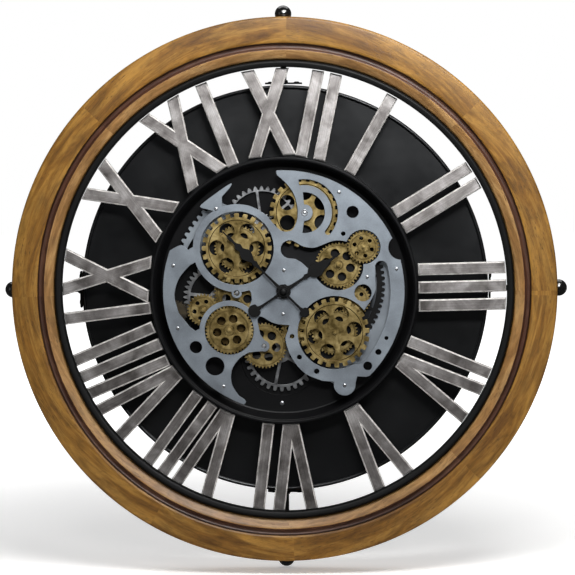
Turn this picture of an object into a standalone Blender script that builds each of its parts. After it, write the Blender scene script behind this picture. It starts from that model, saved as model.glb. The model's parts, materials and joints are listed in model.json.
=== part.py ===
"""A round wall clock with an open dial: a wooden ring, Roman numerals and a train of exposed gears.

The model is in metres, +Z up, and hangs on a wall in the plane y = 0 with its front facing -Y.
Every piece hangs from the empty clock_frame, whose axes are across, up and depth: depth is the
distance from the wall, so the outlines below are plain drawings seen from the front.
"""

from math import atan2, ceil, cos, degrees, hypot, pi, radians, sin

import bmesh
import bpy
from mathutils import Vector
from mathutils.geometry import tessellate_polygon

MM = 0.001
GAP = 0.3  # between pieces that touch

# Ring, hoop, drum and dish: radii and depths from the wall, in millimetres
WOOD_OUTER = 300.0
WOOD_INNER = 253.4
WOOD_BACK = 20.0
WOOD_FRONT = 72.0
GROOVE_OUTER = 271.6
GROOVE_INNER = 264.6
GROOVE_DEPTH = 4.5
HOOP_INNER = 245.6
HOOP_BACK = 54.0
HOOP_FRONT = 69.0
DRUM_RADIUS = 226.3
DRUM_FACE = 34.2
DRUM_OPENING = 45.0
DISH_RIM = 147.8
DISH_FLOOR = 47.7
DISH_WALL = 146.2
DISH_FLAT = 136.4  # radius of the dish's flat floor
SHEET = 1.2
TURN_STEPS = 48
STRAP_HALF = 15.0
STRAP_FRONT = 2.0

# Layers of the gear work, as (back, front) depths
REAR_WHEELS = (51.0, 53.0)
MID_PLATE = (55.5, 57.0)
SECTOR = (57.3, 58.5)
FINE_WHEELS = (60.0, 62.0)
TOP_WHEEL = (62.8, 64.6)
FRONT_PLATE = (66.0, 67.5)
FRONT_WHEELS = (66.4, 68.4)
HOUR_HAND = (70.2, 71.4)
MINUTE_HAND = (72.0, 73.2)
ARBOR = 2.0  # radius of an arbor
ARBOR_HOLE = 2.4
SHAFT_HOLE = 3.0
BUSH_HOLE = 5.0
PLATE_EDGE = 133.0
RING_WINDOW = 40.5
RING_EDGE = 48.5
SMALL_RING_WINDOW = 27.0
SMALL_RING_EDGE = 32.9
BOSS_RADIUS = 5.7
MID_EDGE = 119.0
COMB_TIP = 126.0
COMB_ROOT = 122.0
SECTOR_CENTRE = (23.8, 7.2)
SECTOR_TEETH = 86
SECTOR_TIP = 88.0
SECTOR_ROOT = 84.5
POSTS = ((92.0, 15.5), (-73.6, 91.2), (-0.5, -25.1))
POST_RADIUS = 3.0
PILLARS = ((124.1, 24.3), (61.5, 108.8), (-121.3, 28.7), (-67.0, -105.3), (66.8, -104.2))
PILLAR_RADIUS = 2.6

# Numerals
BAR_WIDTH = 13.2
BAR_PITCH = 20.0
BAR_INNER = 148.4
BAR_OUTER = 244.7
BAR_BACK = 58.0
BAR_FRONT = 62.5
TIE_BACK = 57.0
TIE_WIDTH = 4.0
# Each numeral is one or two groups of strokes: (letters, degrees from the hour, clockwise)
NUMERALS = {
    1: (("I", -0.6),),
    2: (("II", -1.2),),
    3: (("III", -1.2),),
    4: (("I", -7.9), ("V", 1.1)),
    5: (("V", 0.3),),
    6: (("V", -2.7), ("I", 6.9)),
    7: (("V", -4.8), ("II", 6.3)),
    8: (("V", -7.0), ("III", 7.0)),
    9: (("I", -7.1), ("X", 5.1)),
    10: (("X", 0.8),),
    11: (("X", -4.0), ("I", 8.5)),
    12: (("X", -4.5), ("II", 11.6)),
}
V_SPREAD = 18.4
X_SPREAD = 19.2

# Rods and finials
ROD_RADIUS = 3.3
ROD_DEPTH = 28.0
BALL_RADIUS = 9.2
BALL_CENTRE = 304.9
FLANGE_HALF = 20.5
FLANGE_WIDTH = 12.0
FLANGE_SHEET = 1.8

# Hands, in degrees clockwise from twelve
HOUR_ANGLE = 56.3
MINUTE_ANGLE = 315.0

# Gears: teeth, and the module that gives the pitch radius (module x teeth / 2)
FINE_MODULE = 1.236
LARGE_TEETH = 40
SMALL_TEETH = 28
LARGE_PITCH = FINE_MODULE * LARGE_TEETH / 2
SMALL_PITCH = FINE_MODULE * SMALL_TEETH / 2
FINE_ADDENDUM = 0.80
FINE_DEDENDUM = 1.25
COARSE_TEETH = 24
COARSE_TIP = 38.6
COARSE_ROOT = 33.6
COARSE_CREST = 0.40
FACE_TEETH = 42
TOP_MODULE = 2.25  # silver top wheel and the top wheel's pinion
BOTTOM_MODULE = 2.47  # silver bottom wheel and the lower right pinion
LEFT_MODULE = 1.825  # silver left wheel and the drive pinion
SILVER_TOP_TEETH = 36
TOP_PINION_TEETH = 8
SILVER_BOTTOM_TEETH = 32
BOTTOM_PINION_TEETH = 20
SILVER_LEFT_TEETH = 40
DRIVE_PINION_TEETH = 12
DRIVE_FINE_TEETH = 19
TOP_FINE_TEETH = 20
UPPER_PINION_TEETH = 15

# Movement, its setting knob, and the box that drives the gears
CASE_HALF = 28.0
CASE_BACK = 29.0
CASE_FRONT = 47.4
BUSH_RADIUS = 4.5
KNOB_PLACE = (-17.0, -14.0)
KNOB_TIP = 7.0
KNOB_ROOT = 6.4
BOX_BACK = 17.0
BOX_CENTRE = (-135.0, -23.0)
BOX_SIZE = (62.0, 44.0)
BATTERY_RADIUS = 7.1
BATTERY_LENGTH = 49.0


def clear_scene():
    for thing in list(bpy.data.objects):
        bpy.data.objects.remove(thing, do_unlink=True)


def material(name, colour, roughness, metallic):
    made = bpy.data.materials.new(name)
    made.use_nodes = True
    shader = made.node_tree.nodes["Principled BSDF"]
    shader.inputs["Base Color"].default_value = (*colour, 1.0)
    shader.inputs["Roughness"].default_value = roughness
    shader.inputs["Metallic"].default_value = metallic
    made.diffuse_color = (*colour, 1.0)
    return made


# ---------------------------------------------------------------- outlines, in millimetres


def polar(radius, angle, centre=(0.0, 0.0)):
    """The point at this radius and angle, in degrees counter-clockwise from the right."""
    return (centre[0] + radius * cos(radians(angle)), centre[1] + radius * sin(radians(angle)))


def arc(centre, radius, start, end, step=12.0):
    count = max(2, ceil(abs(end - start) / step))
    return [polar(radius, start + (end - start) * n / count, centre) for n in range(count + 1)]


def circle(centre, radius, count=12, turn=0.0):
    return [polar(radius, turn + 360.0 * n / count, centre) for n in range(count)]


def smooth(points, per_span=3):
    """Points along a Catmull-Rom curve through the given ones."""
    ends = [points[0], *points, points[-1]]
    found = []
    for before, a, b, after in zip(ends, ends[1:], ends[2:], ends[3:]):
        for n in range(per_span):
            t = n / per_span
            found.append(
                tuple(
                    0.5
                    * (
                        2 * a[k]
                        + (b[k] - before[k]) * t
                        + (2 * before[k] - 5 * a[k] + 4 * b[k] - after[k]) * t**2
                        + (3 * a[k] - before[k] - 3 * b[k] + after[k]) * t**3
                    )
                    for k in (0, 1)
                )
            )
    return [*found, points[-1]]


def crossing(centre, radius, other, other_radius):
    """Where two circles cross, as the two angles about the first one's centre."""
    across, up = other[0] - centre[0], other[1] - centre[1]
    reach = hypot(across, up)
    share = (radius**2 + reach**2 - other_radius**2) / (2 * radius * reach)
    half = degrees(atan2((1 - share**2) ** 0.5, share))
    middle = degrees(atan2(up, across))
    return middle - half, middle + half


def toothed(teeth, tip, root, phase=0.0, crest=0.0, valley=0.0, start=0.0, end=360.0):
    """Teeth round the origin. crest and valley are the flat shares of a pitch at tip and root."""
    pitch = 360.0 / teeth
    found = []
    for n in range(teeth):
        middle = phase + n * pitch
        if not start <= middle % 360.0 <= end:
            continue
        if crest:
            found.append(polar(tip, middle - crest * pitch / 2))
        found.append(polar(tip, middle + crest * pitch / 2))
        found.append(polar(root, middle + pitch / 2 - valley * pitch / 2))
        if valley:
            found.append(polar(root, middle + pitch / 2 + valley * pitch / 2))
    return found


def ring_of_holes(count, radius, hole, turn=0.0, sides=8):
    return [
        circle(polar(radius, turn + 360.0 * n / count), hole, sides, turn + 360.0 * n / count)
        for n in range(count)
    ]


def spoke_windows(count, inner, outer, spoke, turn=0.0):
    """The openings between straight spokes of this width."""
    found = []
    for n in range(count):
        start = turn + 360.0 * n / count
        end = start + 360.0 / count
        far = degrees(spoke / 2 / outer)
        near = degrees(spoke / 2 / inner)
        window = arc((0, 0), outer, start + far, end - far, 30.0)
        found.append(window + arc((0, 0), inner, end - near, start + near, 60.0))
    return found


# ---------------------------------------------------------------- meshes


def mesh_of(name, build):
    shape = bmesh.new()
    build(shape)
    bmesh.ops.recalc_face_normals(shape, faces=shape.faces)
    mesh = bpy.data.meshes.new(name)
    shape.to_mesh(mesh)
    shape.free()
    return mesh


def prism_mesh(name, outlines, back, front):
    """A flat piece: the first outline with the others cut out of it, between two depths."""

    def build(shape):
        rings = [[Vector((x * MM, y * MM, 0.0)) for x, y in outline] for outline in outlines]
        flat = [point for ring in rings for point in ring]
        low = [shape.verts.new((p.x, p.y, back * MM)) for p in flat]
        high = [shape.verts.new((p.x, p.y, front * MM)) for p in flat]
        for triangle in tessellate_polygon(rings):
            shape.faces.new([low[n] for n in triangle])
            shape.faces.new([high[n] for n in triangle])
        first = 0
        for ring in rings:
            for n in range(len(ring)):
                a, b = first + n, first + (n + 1) % len(ring)
                shape.faces.new((low[a], low[b], high[b], high[a]))
            first += len(ring)

    return mesh_of(name, build)


def turned_mesh(name, profile, steps=TURN_STEPS):
    """A closed profile of (radius, depth) points turned round the depth axis."""

    def build(shape):
        verts = [shape.verts.new((r * MM, 0.0, d * MM)) for r, d in profile]
        edges = [shape.edges.new((a, b)) for a, b in zip(verts, verts[1:] + verts[:1])]
        bmesh.ops.spin(
            shape,
            geom=verts + edges,
            cent=(0, 0, 0),
            axis=(0, 0, 1),
            angle=2 * pi,
            steps=steps,
            use_merge=True,
        )
        bmesh.ops.remove_doubles(shape, verts=shape.verts, dist=1e-6)
        lone = [edge for edge in shape.edges if not edge.link_faces]
        bmesh.ops.delete(shape, geom=lone, context="EDGES")

    return mesh_of(name, build)


def rod_mesh(name, radius, start, end, sides=16):
    """A round bar from one point to another, in the clock frame's millimetres."""

    def build(shape):
        a, b = Vector(start) * MM, Vector(end) * MM
        turn = (b - a).to_track_quat("Z", "Y").to_matrix().to_4x4()
        turn.translation = (a + b) / 2
        bmesh.ops.create_cone(
            shape,
            cap_ends=True,
            segments=sides,
            radius1=radius * MM,
            radius2=radius * MM,
            depth=(b - a).length,
            matrix=turn,
        )

    return mesh_of(name, build)


def box_mesh(name, low, high):
    corners = [(low[0], low[1]), (high[0], low[1]), (high[0], high[1]), (low[0], high[1])]
    return prism_mesh(name, [corners], low[2], high[2])


def combined(mesh, others, operation):
    """The mesh joined with the others, or with them cut out of it."""
    if not others:
        return mesh
    body = bpy.data.objects.new(mesh.name, mesh)
    bpy.context.collection.objects.link(body)
    helpers = []
    for n, other in enumerate(others):
        helper = bpy.data.objects.new(f"{mesh.name}_helper_{n}", other)
        helper.hide_render = True
        helper.display_type = "WIRE"
        bpy.context.collection.objects.link(helper)
        helpers.append(helper)
        change = body.modifiers.new(f"helper_{n}", "BOOLEAN")
        change.operation = operation
        change.object = helper
    bpy.context.view_layer.update()
    graph = bpy.context.evaluated_depsgraph_get()
    made = bpy.data.meshes.new_from_object(body.evaluated_get(graph))
    for helper in (body, *helpers):
        bpy.data.objects.remove(helper, do_unlink=True)
    return made


def joined(mesh, *others):
    return combined(mesh, others, "UNION")


def cut(mesh, *others):
    return combined(mesh, others, "DIFFERENCE")


class Clock:
    """Places each piece under the clock frame."""

    def __init__(self):
        self.frame = bpy.data.objects.new("clock_frame", None)
        self.frame.rotation_euler = (pi / 2, 0.0, 0.0)
        bpy.context.collection.objects.link(self.frame)

    def add(self, name, mesh, finish, centre=(0.0, 0.0), depth=0.0):
        """A piece whose mesh is drawn about this centre and, if given, this depth."""
        mesh.name = name
        mesh.materials.clear()
        mesh.materials.append(finish)
        mesh.shade_smooth()
        mesh.set_sharp_from_angle(angle=radians(30))
        piece = bpy.data.objects.new(name, mesh)
        piece.parent = self.frame
        piece.location = (centre[0] * MM, centre[1] * MM, depth * MM)
        bpy.context.collection.objects.link(piece)
        return piece


# ---------------------------------------------------------------- the gear train's places


def beside(centre, reach, bearing):
    """The centre of a wheel at this distance and bearing from another one."""
    return polar(reach, bearing, centre)


def meshing_phase(centre, teeth, phase, other, other_teeth):
    """The phase that puts the second wheel's valleys over the first wheel's teeth."""
    bearing = degrees(atan2(other[1] - centre[1], other[0] - centre[0]))
    offset = (bearing - phase) * teeth / 360.0
    return bearing + 180.0 - (0.5 - offset) * 360.0 / other_teeth


def pitch_radius(module, teeth):
    return module * teeth / 2


CENTRE_LEFT = (-51.6, -1.8)
UPPER_LEFT = beside(CENTRE_LEFT, 2 * LARGE_PITCH, 89.4)
LOWER_LEFT = beside(CENTRE_LEFT, LARGE_PITCH + SMALL_PITCH, 258.2)
LEFT_SMALL = beside(CENTRE_LEFT, LARGE_PITCH + SMALL_PITCH, 206.9)
BOTTOM = beside(LOWER_LEFT, LARGE_PITCH + SMALL_PITCH, -24.7)
IDLER = beside(BOTTOM, LARGE_PITCH + SMALL_PITCH, 30.0)
LOWER_RIGHT = beside(IDLER, LARGE_PITCH + SMALL_PITCH, -8.8)
RIGHT_SMALL = beside(LOWER_RIGHT, LARGE_PITCH + SMALL_PITCH, 58.8)
UPPER_RIGHT = beside(RIGHT_SMALL, LARGE_PITCH + SMALL_PITCH, 114.3)
RIGHT_FRONT = beside(UPPER_RIGHT, LARGE_PITCH + pitch_radius(FINE_MODULE, UPPER_PINION_TEETH), 36.4)
SILVER_TOP = beside(UPPER_LEFT, LARGE_PITCH + pitch_radius(FINE_MODULE, TOP_FINE_TEETH), 43.5)
TOP = beside(SILVER_TOP, pitch_radius(TOP_MODULE, SILVER_TOP_TEETH + TOP_PINION_TEETH), 15.5)
SILVER_BOTTOM = beside(
    LOWER_RIGHT, pitch_radius(BOTTOM_MODULE, SILVER_BOTTOM_TEETH + BOTTOM_PINION_TEETH), 203.2
)
DRIVE = beside(LEFT_SMALL, SMALL_PITCH + pitch_radius(FINE_MODULE, DRIVE_FINE_TEETH), 184.5)
SILVER_LEFT = beside(
    DRIVE, pitch_radius(LEFT_MODULE, SILVER_LEFT_TEETH + DRIVE_PINION_TEETH), 19.5
)


def fine_outline(teeth, phase):
    radius = pitch_radius(FINE_MODULE, teeth)
    return toothed(teeth, radius + FINE_ADDENDUM, radius - FINE_DEDENDUM, phase)


def arbor_mesh(name, back, front):
    return prism_mesh(name, [circle((0, 0), ARBOR, 10)], back, front)


def fine_phases():
    """The phase of each fine wheel, so that all of them are in mesh at rest."""
    phases = {"centre_left": 0.0}
    steps = (
        ("centre_left", CENTRE_LEFT, LARGE_TEETH, "upper_left", UPPER_LEFT, LARGE_TEETH),
        ("centre_left", CENTRE_LEFT, LARGE_TEETH, "lower_left", LOWER_LEFT, SMALL_TEETH),
        ("centre_left", CENTRE_LEFT, LARGE_TEETH, "left_small", LEFT_SMALL, SMALL_TEETH),
        ("left_small", LEFT_SMALL, SMALL_TEETH, "drive", DRIVE, DRIVE_FINE_TEETH),
        ("lower_left", LOWER_LEFT, SMALL_TEETH, "bottom", BOTTOM, LARGE_TEETH),
        ("bottom", BOTTOM, LARGE_TEETH, "idler", IDLER, SMALL_TEETH),
        ("idler", IDLER, SMALL_TEETH, "lower_right", LOWER_RIGHT, LARGE_TEETH),
        ("lower_right", LOWER_RIGHT, LARGE_TEETH, "right_small", RIGHT_SMALL, SMALL_TEETH),
        ("right_small", RIGHT_SMALL, SMALL_TEETH, "upper_right", UPPER_RIGHT, LARGE_TEETH),
        ("upper_right", UPPER_RIGHT, LARGE_TEETH, "right_front", RIGHT_FRONT, UPPER_PINION_TEETH),
        ("upper_left", UPPER_LEFT, LARGE_TEETH, "silver_top", SILVER_TOP, TOP_FINE_TEETH),
    )
    for known, centre, teeth, new, other, other_teeth in steps:
        phases[new] = meshing_phase(centre, teeth, phases[known], other, other_teeth)
    return phases


# ---------------------------------------------------------------- case, dial and back


def wood_ring(clock, finish):
    profile = [
        (WOOD_INNER, WOOD_BACK + 8),
        (WOOD_INNER + 6, WOOD_BACK),
        (WOOD_OUTER - 3, WOOD_BACK),
        (WOOD_OUTER, WOOD_BACK + 3),
        (WOOD_OUTER, WOOD_FRONT - 3),
        (WOOD_OUTER - 3, WOOD_FRONT),
        (GROOVE_OUTER, WOOD_FRONT),
        (GROOVE_OUTER - 1.4, WOOD_FRONT - GROOVE_DEPTH),
        (GROOVE_INNER + 1.6, WOOD_FRONT - GROOVE_DEPTH),
        (GROOVE_INNER, WOOD_FRONT - 1.5),
        (WOOD_INNER, HOOP_FRONT - 4),
    ]
    bores = [
        rod_mesh(
            "bore",
            ROD_RADIUS + 0.4,
            (*polar(WOOD_INNER - 20, angle), ROD_DEPTH),
            (*polar(WOOD_OUTER + 20, angle), ROD_DEPTH),
            12,
        )
        for angle in (0, 90, 180, 270)
    ]
    clock.add("wood_ring", cut(turned_mesh("ring", profile), *bores), finish)


def dial_hoop(clock, finish):
    outer = WOOD_INNER - GAP
    profile = [
        (HOOP_INNER, HOOP_BACK),
        (outer, HOOP_BACK),
        (outer, HOOP_FRONT - 2),
        (outer - 2, HOOP_FRONT),
        (HOOP_INNER, HOOP_FRONT - 1),
    ]
    clock.add("dial_hoop", turned_mesh("hoop", profile), finish)


def gear_dish(clock, finish):
    floor, front = DISH_FLOOR, DISH_FLOOR + SHEET
    profile = [
        (0.0, floor),
        (138.0, floor),
        (144.6, floor + 14.0),
        (DISH_WALL, floor + 14.0),
        (DISH_WALL, DRUM_FACE + SHEET + GAP),
        (DISH_RIM, DRUM_FACE + SHEET + GAP),
        (DISH_RIM, floor + 16.5),
        (DISH_WALL, floor + 18.0),
        (143.6, floor + 17.0),
        (137.2, front + 0.4),
        (DISH_FLAT, front),
        (0.0, front),
    ]
    holes = [((0, 0), BUSH_HOLE), (DRIVE, SHAFT_HOLE)]
    holes += [(centre, ARBOR_HOLE) for centre in (SILVER_TOP, SILVER_LEFT, SILVER_BOTTOM)]
    cutters = [
        prism_mesh("hole", [circle(centre, radius, 12)], floor - 5, front + 5)
        for centre, radius in holes
    ]
    clock.add("gear_dish", cut(turned_mesh("dish", profile), *cutters), finish)


def back_drum(clock, finish):
    inner, front = DRUM_RADIUS - 1.5, DRUM_FACE + SHEET
    profile = [
        (DRUM_OPENING, DRUM_FACE),
        (inner, DRUM_FACE),
        (inner, 2.4),
        (DRUM_RADIUS, 2.4),
        (DRUM_RADIUS, front + 1.2),
        (DRUM_RADIUS - 1.2, front + 2.8),
        (DRUM_RADIUS - 3.2, front + 2.8),
        (DRUM_RADIUS - 4.4, front),
        (DRUM_OPENING, front),
    ]
    hole = prism_mesh("hole", [circle(DRIVE, SHAFT_HOLE, 12)], DRUM_FACE - 5, front + 5)
    clock.add("back_drum", cut(turned_mesh("drum", profile), hole), finish)


def hanger_strap(clock, finish):
    reach = DRUM_RADIUS - 0.5
    half = STRAP_HALF
    outline = [(-half, -reach), (half, -reach), (half, reach), (-half, reach)]
    keyhole = arc((0, 150.0), 5.0, 120, 420, 20.0) + arc((0, 164.0), 2.5, 0, 180, 36.0)
    clock.add("hanger_strap", prism_mesh("strap", [outline, keyhole], 0.0, STRAP_FRONT), finish)


def support_rods(clock, finish, ball_finish):
    for name, angle in (("right", 0), ("top", 90), ("left", 180), ("bottom", 270)):
        wall = DRUM_RADIUS + GAP
        rod = rod_mesh(
            "rod",
            ROD_RADIUS,
            (*polar(wall + 0.5, angle), ROD_DEPTH),
            (*polar(WOOD_OUTER, angle), ROD_DEPTH),
            12,
        )
        across = angle + 90
        near = polar(wall + 0.8, angle)
        far = polar(wall + 0.8 + FLANGE_SHEET, angle)
        corners = [
            polar(FLANGE_HALF, across, near),
            polar(FLANGE_HALF, across, far),
            polar(-FLANGE_HALF, across, far),
            polar(-FLANGE_HALF, across, near),
        ]
        back, front = ROD_DEPTH - FLANGE_WIDTH / 2, ROD_DEPTH + FLANGE_WIDTH / 2
        flange = prism_mesh("flange", [corners], back, front)
        clock.add(f"support_rod_{name}", joined(flange, rod), finish)
        finial(clock, name, angle, ball_finish)


def finial(clock, name, angle, finish):
    """A ball with a flat where it meets the wood, turned about its own rod's axis."""
    flat = BALL_CENTRE - WOOD_OUTER - GAP
    turn = degrees(atan2((BALL_RADIUS**2 - flat**2) ** 0.5, -flat))
    profile = [(0.0, -flat)]
    for n in range(6):
        a = turn * (5 - n) / 5
        profile.append((BALL_RADIUS * sin(radians(a)), BALL_RADIUS * cos(radians(a))))
    profile[-1] = (0.0, BALL_RADIUS)
    ball = turned_mesh("ball", profile, 12)
    piece = clock.add(
        f"finial_{name}", ball, finish, centre=polar(BALL_CENTRE, angle), depth=ROD_DEPTH
    )
    piece.rotation_euler = (pi / 2, 0.0, radians(angle + 90))


def stroke(start, end, width=BAR_WIDTH):
    """The four corners of a straight bar whose ends are square to the spoke it stands on."""
    lean = (end[0] - start[0]) / (end[1] - start[1])
    half = width / 2 * hypot(1, lean)
    return [
        (start[0] - half, start[1]),
        (start[0] + half, start[1]),
        (end[0] + half, end[1]),
        (end[0] - half, end[1]),
    ]


def strokes_of(letters):
    """The bars of one group, in a frame whose +Y runs from the hub out along the group."""
    inner, outer = BAR_INNER, BAR_OUTER
    if letters == "V":
        return [stroke((-2.5, inner), (-V_SPREAD, outer)), stroke((2.5, inner), (V_SPREAD, outer))]
    if letters == "X":
        return [
            stroke((-X_SPREAD, inner), (X_SPREAD, outer)),
            stroke((X_SPREAD, inner), (-X_SPREAD, outer)),
        ]
    first = -(len(letters) - 1) / 2
    places = [(first + n) * BAR_PITCH for n in range(len(letters))]
    return [stroke((x, inner), (x, outer)) for x in places]


def shortened(bar):
    """A bar with its corners drawn in to the hoop and the dish rim."""
    found = []
    for x, y in bar:
        reach = hypot(x, y)
        if y > (BAR_INNER + BAR_OUTER) / 2:
            y -= max(0.0, reach - BAR_OUTER)
        found.append((x, y))
    return found


def numeral(clock, hour, groups, finish):
    bars = []
    for letters, offset in groups:
        angle = -(hour * 30.0 + offset)
        for bar in strokes_of(letters):
            bars.append([turned_point(point, angle) for point in shortened(bar)])
    meshes = [prism_mesh("bar", [bar], BAR_BACK, BAR_FRONT) for bar in bars]
    if len(bars) > 1:
        angles = [degrees(atan2(y, x)) for bar in bars for x, y in bar]
        middle = 90.0 - hour * 30.0
        spread = [(a - middle + 180.0) % 360.0 - 180.0 for a in angles]
        low, high = middle + min(spread) + 0.6, middle + max(spread) - 0.6
        for inner, narrow in ((BAR_INNER + 1.0, 0.0), (BAR_OUTER - TIE_WIDTH - 1.0, 2.0)):
            band = arc((0, 0), inner, low + narrow, high - narrow, 9.0)
            band += arc((0, 0), inner + TIE_WIDTH, high - narrow, low + narrow, 9.0)
            meshes.append(prism_mesh("tie", [band], TIE_BACK, BAR_BACK + 1.0))
    clock.add(f"numeral_{hour:02d}", joined(meshes[0], *meshes[1:]), finish)


def turned_point(point, angle):
    across, up = point
    turn = radians(angle)
    return (across * cos(turn) - up * sin(turn), across * sin(turn) + up * cos(turn))


# ---------------------------------------------------------------- plates


def plate_edge():
    """The front plate's outside, clockwise from the tip of the top horn."""
    hub = (0.0, 0.0)
    notch, lobe = (129.0, 47.9), (66.8, -103.4)
    edge = [(-7.4, 130.6)]
    edge += arc(hub, PLATE_EDGE, 93, 26.2)
    edge += arc(notch, 13.7, 132, 268, 15)
    edge += arc(hub, PLATE_EDGE, 15, -44.8)
    edge += [(90.6, -94.9), (80.7, -94.3)]
    edge += arc(lobe, 12.1, 8, -195, 20)
    edge += smooth([(42.3, -99.3), (22.5, -90.5), (8.2, -72.9), (1.8, -54.2), (4.0, -44.5)])
    edge += [(6.0, -37.4)]
    edge += smooth([(-5.4, -36.6), (-13.8, -34.0), (-22.2, -29.0), (-26.6, -27.6)], 2)
    edge += [(-29.1, -31.2), (-27.5, -40.0), (-25.8, -47.7)]
    edge += arc(BOTTOM, 6.2, 80, -110, 24)
    edge += smooth(
        [(-37.9, -67.4), (-48.9, -74.0), (-57.6, -87.2), (-57.6, -102.6), (-50.0, -115.7)], 2
    )
    edge += [(-43.9, -119.6), (-42.3, -122.6), (-44.6, -125.4)]
    edge += arc(hub, PLATE_EDGE, -111, -200)
    edge += [(-118.0, 49.5), (-111.4, 51.2), (-104.6, 46.2)]
    edge += arc(UPPER_LEFT, RING_EDGE, 178, 122)
    edge += [(-88.4, 91.8), (-89.5, 96.2), (-59.8, 117.6), (-57.1, 115.6), (-67.0, 104.2)]
    edge += arc(UPPER_LEFT, RING_EDGE, 109, 55)
    edge += smooth(
        [
            (-17.0, 82.6),
            (-9.3, 73.1),
            (-0.5, 66.0),
            (10.4, 68.2),
            (15.9, 83.0),
            (13.7, 101.7),
            (6.0, 115.9),
            (-7.9, 129.0),
        ]
    )
    return edge[:-1]


def left_window():
    """The opening between the two ring frames, out to the crescent at the left."""
    near, far = crossing(UPPER_LEFT, RING_EDGE, CENTRE_LEFT, BOSS_RADIUS)
    boss_far, boss_near = crossing(CENTRE_LEFT, BOSS_RADIUS, UPPER_LEFT, RING_EDGE)
    window = [(-35.1, -9.2), (-35.8, -1.4)]
    window += arc(UPPER_LEFT, RING_EDGE, -74, far - 0.4)
    window += arc(CENTRE_LEFT, BOSS_RADIUS, boss_far + 360.0 - 4, boss_near + 4, 24)[1:-1]
    window += arc(UPPER_LEFT, RING_EDGE, near + 0.4, -161.5)
    window += smooth([(-102.7, 29.2), (-114.7, 14.9), (-120.2, -3.7), (-115.8, -23.5)])
    window += [(-103.8, -38.9), (-97.6, -43.5)]
    window += arc(LOWER_LEFT, SMALL_RING_EDGE, 177, 48, 12)
    return window


def right_windows():
    """The joined openings of the two upper right wheels, and of the lower right wheel."""
    rim, rim_small = 27.4, 18.8
    low, high = crossing(UPPER_RIGHT, rim, RIGHT_FRONT, rim_small)
    small_low, small_high = crossing(RIGHT_FRONT, rim_small, UPPER_RIGHT, rim)
    upper = arc(RIGHT_FRONT, rim_small, small_high, small_low + 360.0, 15)
    upper += arc(UPPER_RIGHT, rim, high, 112, 15)[1:]
    upper += smooth([(41.2, 50.1), (34.6, 47.9), (28.0, 47.9), (21.4, 49.5), (14.8, 53.2)], 2)
    upper += arc((7.1, 46.2), 9.9, 60, 262, 25)
    upper += smooth([(12.6, 35.8), (20.3, 31.4), (28.6, 23.7)], 2)
    upper += arc(UPPER_RIGHT, rim, 205, low + 360.0, 15)[:-1]
    lower = arc(LOWER_RIGHT, RING_WINDOW, 37, 299)
    lower += arc((0, 0), 117.3, -43, 12)
    lower += arc((107.4, 26.6), 6.6, 20, 172, 25)
    lower += [(101.4, 1.8), (99.4, -3.7), (96.1, -10.3)]
    return [upper, lower]


def top_windows():
    """The two curved openings in front of the top wheel."""
    slot = arc(TOP, 36.6, 100, -38, 11) + arc(polar(33.4, -40, TOP), 3.2, -60, -200, 35)
    slot += arc(TOP, 30.2, -38, 100, 11)
    half = arc(TOP, 22.3, 94, -96, 15) + arc(TOP, 9.1, -92, 92, 30)
    return [slot, half]


def front_plate(clock, finish):
    windows = [
        circle(UPPER_LEFT, RING_WINDOW, 30),
        circle(LOWER_LEFT, SMALL_RING_WINDOW, 24),
        circle((87.3, -2.1), 9.4, 14),
        circle((0, 0), 6.0, 14),
        circle(CENTRE_LEFT, SHAFT_HOLE, 10),
        circle(BOTTOM, ARBOR_HOLE, 10),
    ]
    round_holes = (
        ((76.3, 86.9), 6.6),
        ((-97.2, -61.6), 6.8),
        ((-76.3, -82.8), 10.4),
        ((17.0, -72.9), 2.7),
        ((36.0, -88.6), 2.9),
        ((92.2, -82.8), 4.8),
        ((104.0, -67.4), 3.3),
        ((112.9, -52.0), 2.2),
    )
    windows += [circle(centre, radius, 8) for centre, radius in round_holes]
    outlines = [plate_edge(), left_window(), *right_windows(), *top_windows(), *windows]
    clock.add("front_plate", prism_mesh("plate", outlines, *FRONT_PLATE), finish)


def mid_plate(clock, finish):
    """The plate that carries the arbors, with a toothed edge at the upper left."""
    comb = toothed(101, COMB_TIP, COMB_ROOT, 0.0, 0.3, 0.3, 133, 155)
    edge = arc((0, 0), MID_EDGE, -52, 44)
    edge += [(60.0, 72.0)]
    edge += arc(TOP, 8.0, 30, 210, 30)
    edge += [(4.0, 60.0)]
    edge += arc(SILVER_TOP, 8.0, 10, 120, 30)
    edge += [(-52.0, 90.0), (-72.0, 99.0)]
    edge += comb
    edge += [(-112.0, 46.0), (-100.0, 36.5), (-88.0, 26.0), (-66.0, 6.0)]
    edge += [(-58.0, -6.0), (-66.0, -30.0)]
    edge += arc(LEFT_SMALL, 6.0, 100, 280, 30)
    edge += arc(LOWER_LEFT, 8.0, 220, 300, 30)
    edge += arc(BOTTOM, 6.0, 190, 360, 30)
    edge += [(-2.0, -38.0), (12.0, -66.0), (30.0, -88.0), (58.0, -106.0)]
    arbors = (
        UPPER_LEFT,
        LOWER_LEFT,
        LEFT_SMALL,
        BOTTOM,
        IDLER,
        LOWER_RIGHT,
        RIGHT_SMALL,
        UPPER_RIGHT,
        RIGHT_FRONT,
        TOP,
        SILVER_TOP,
        CENTRE_LEFT,
    )
    holes = [circle(centre, ARBOR_HOLE, 8) for centre in arbors]
    holes.append(circle((0, 0), BUSH_HOLE, 12))
    holes.append([(-99.9, 58.3), (-108.7, 43.5), (-100.5, 41.6)])
    plate = prism_mesh("mid", [edge, *holes], *MID_PLATE)
    floor = DISH_FLOOR + SHEET + GAP
    posts = [prism_mesh("post", [circle(p, POST_RADIUS, 10)], floor, MID_PLATE[0] + 0.8) for p in POSTS]
    clock.add("mid_plate", joined(plate, *posts), finish)


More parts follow.
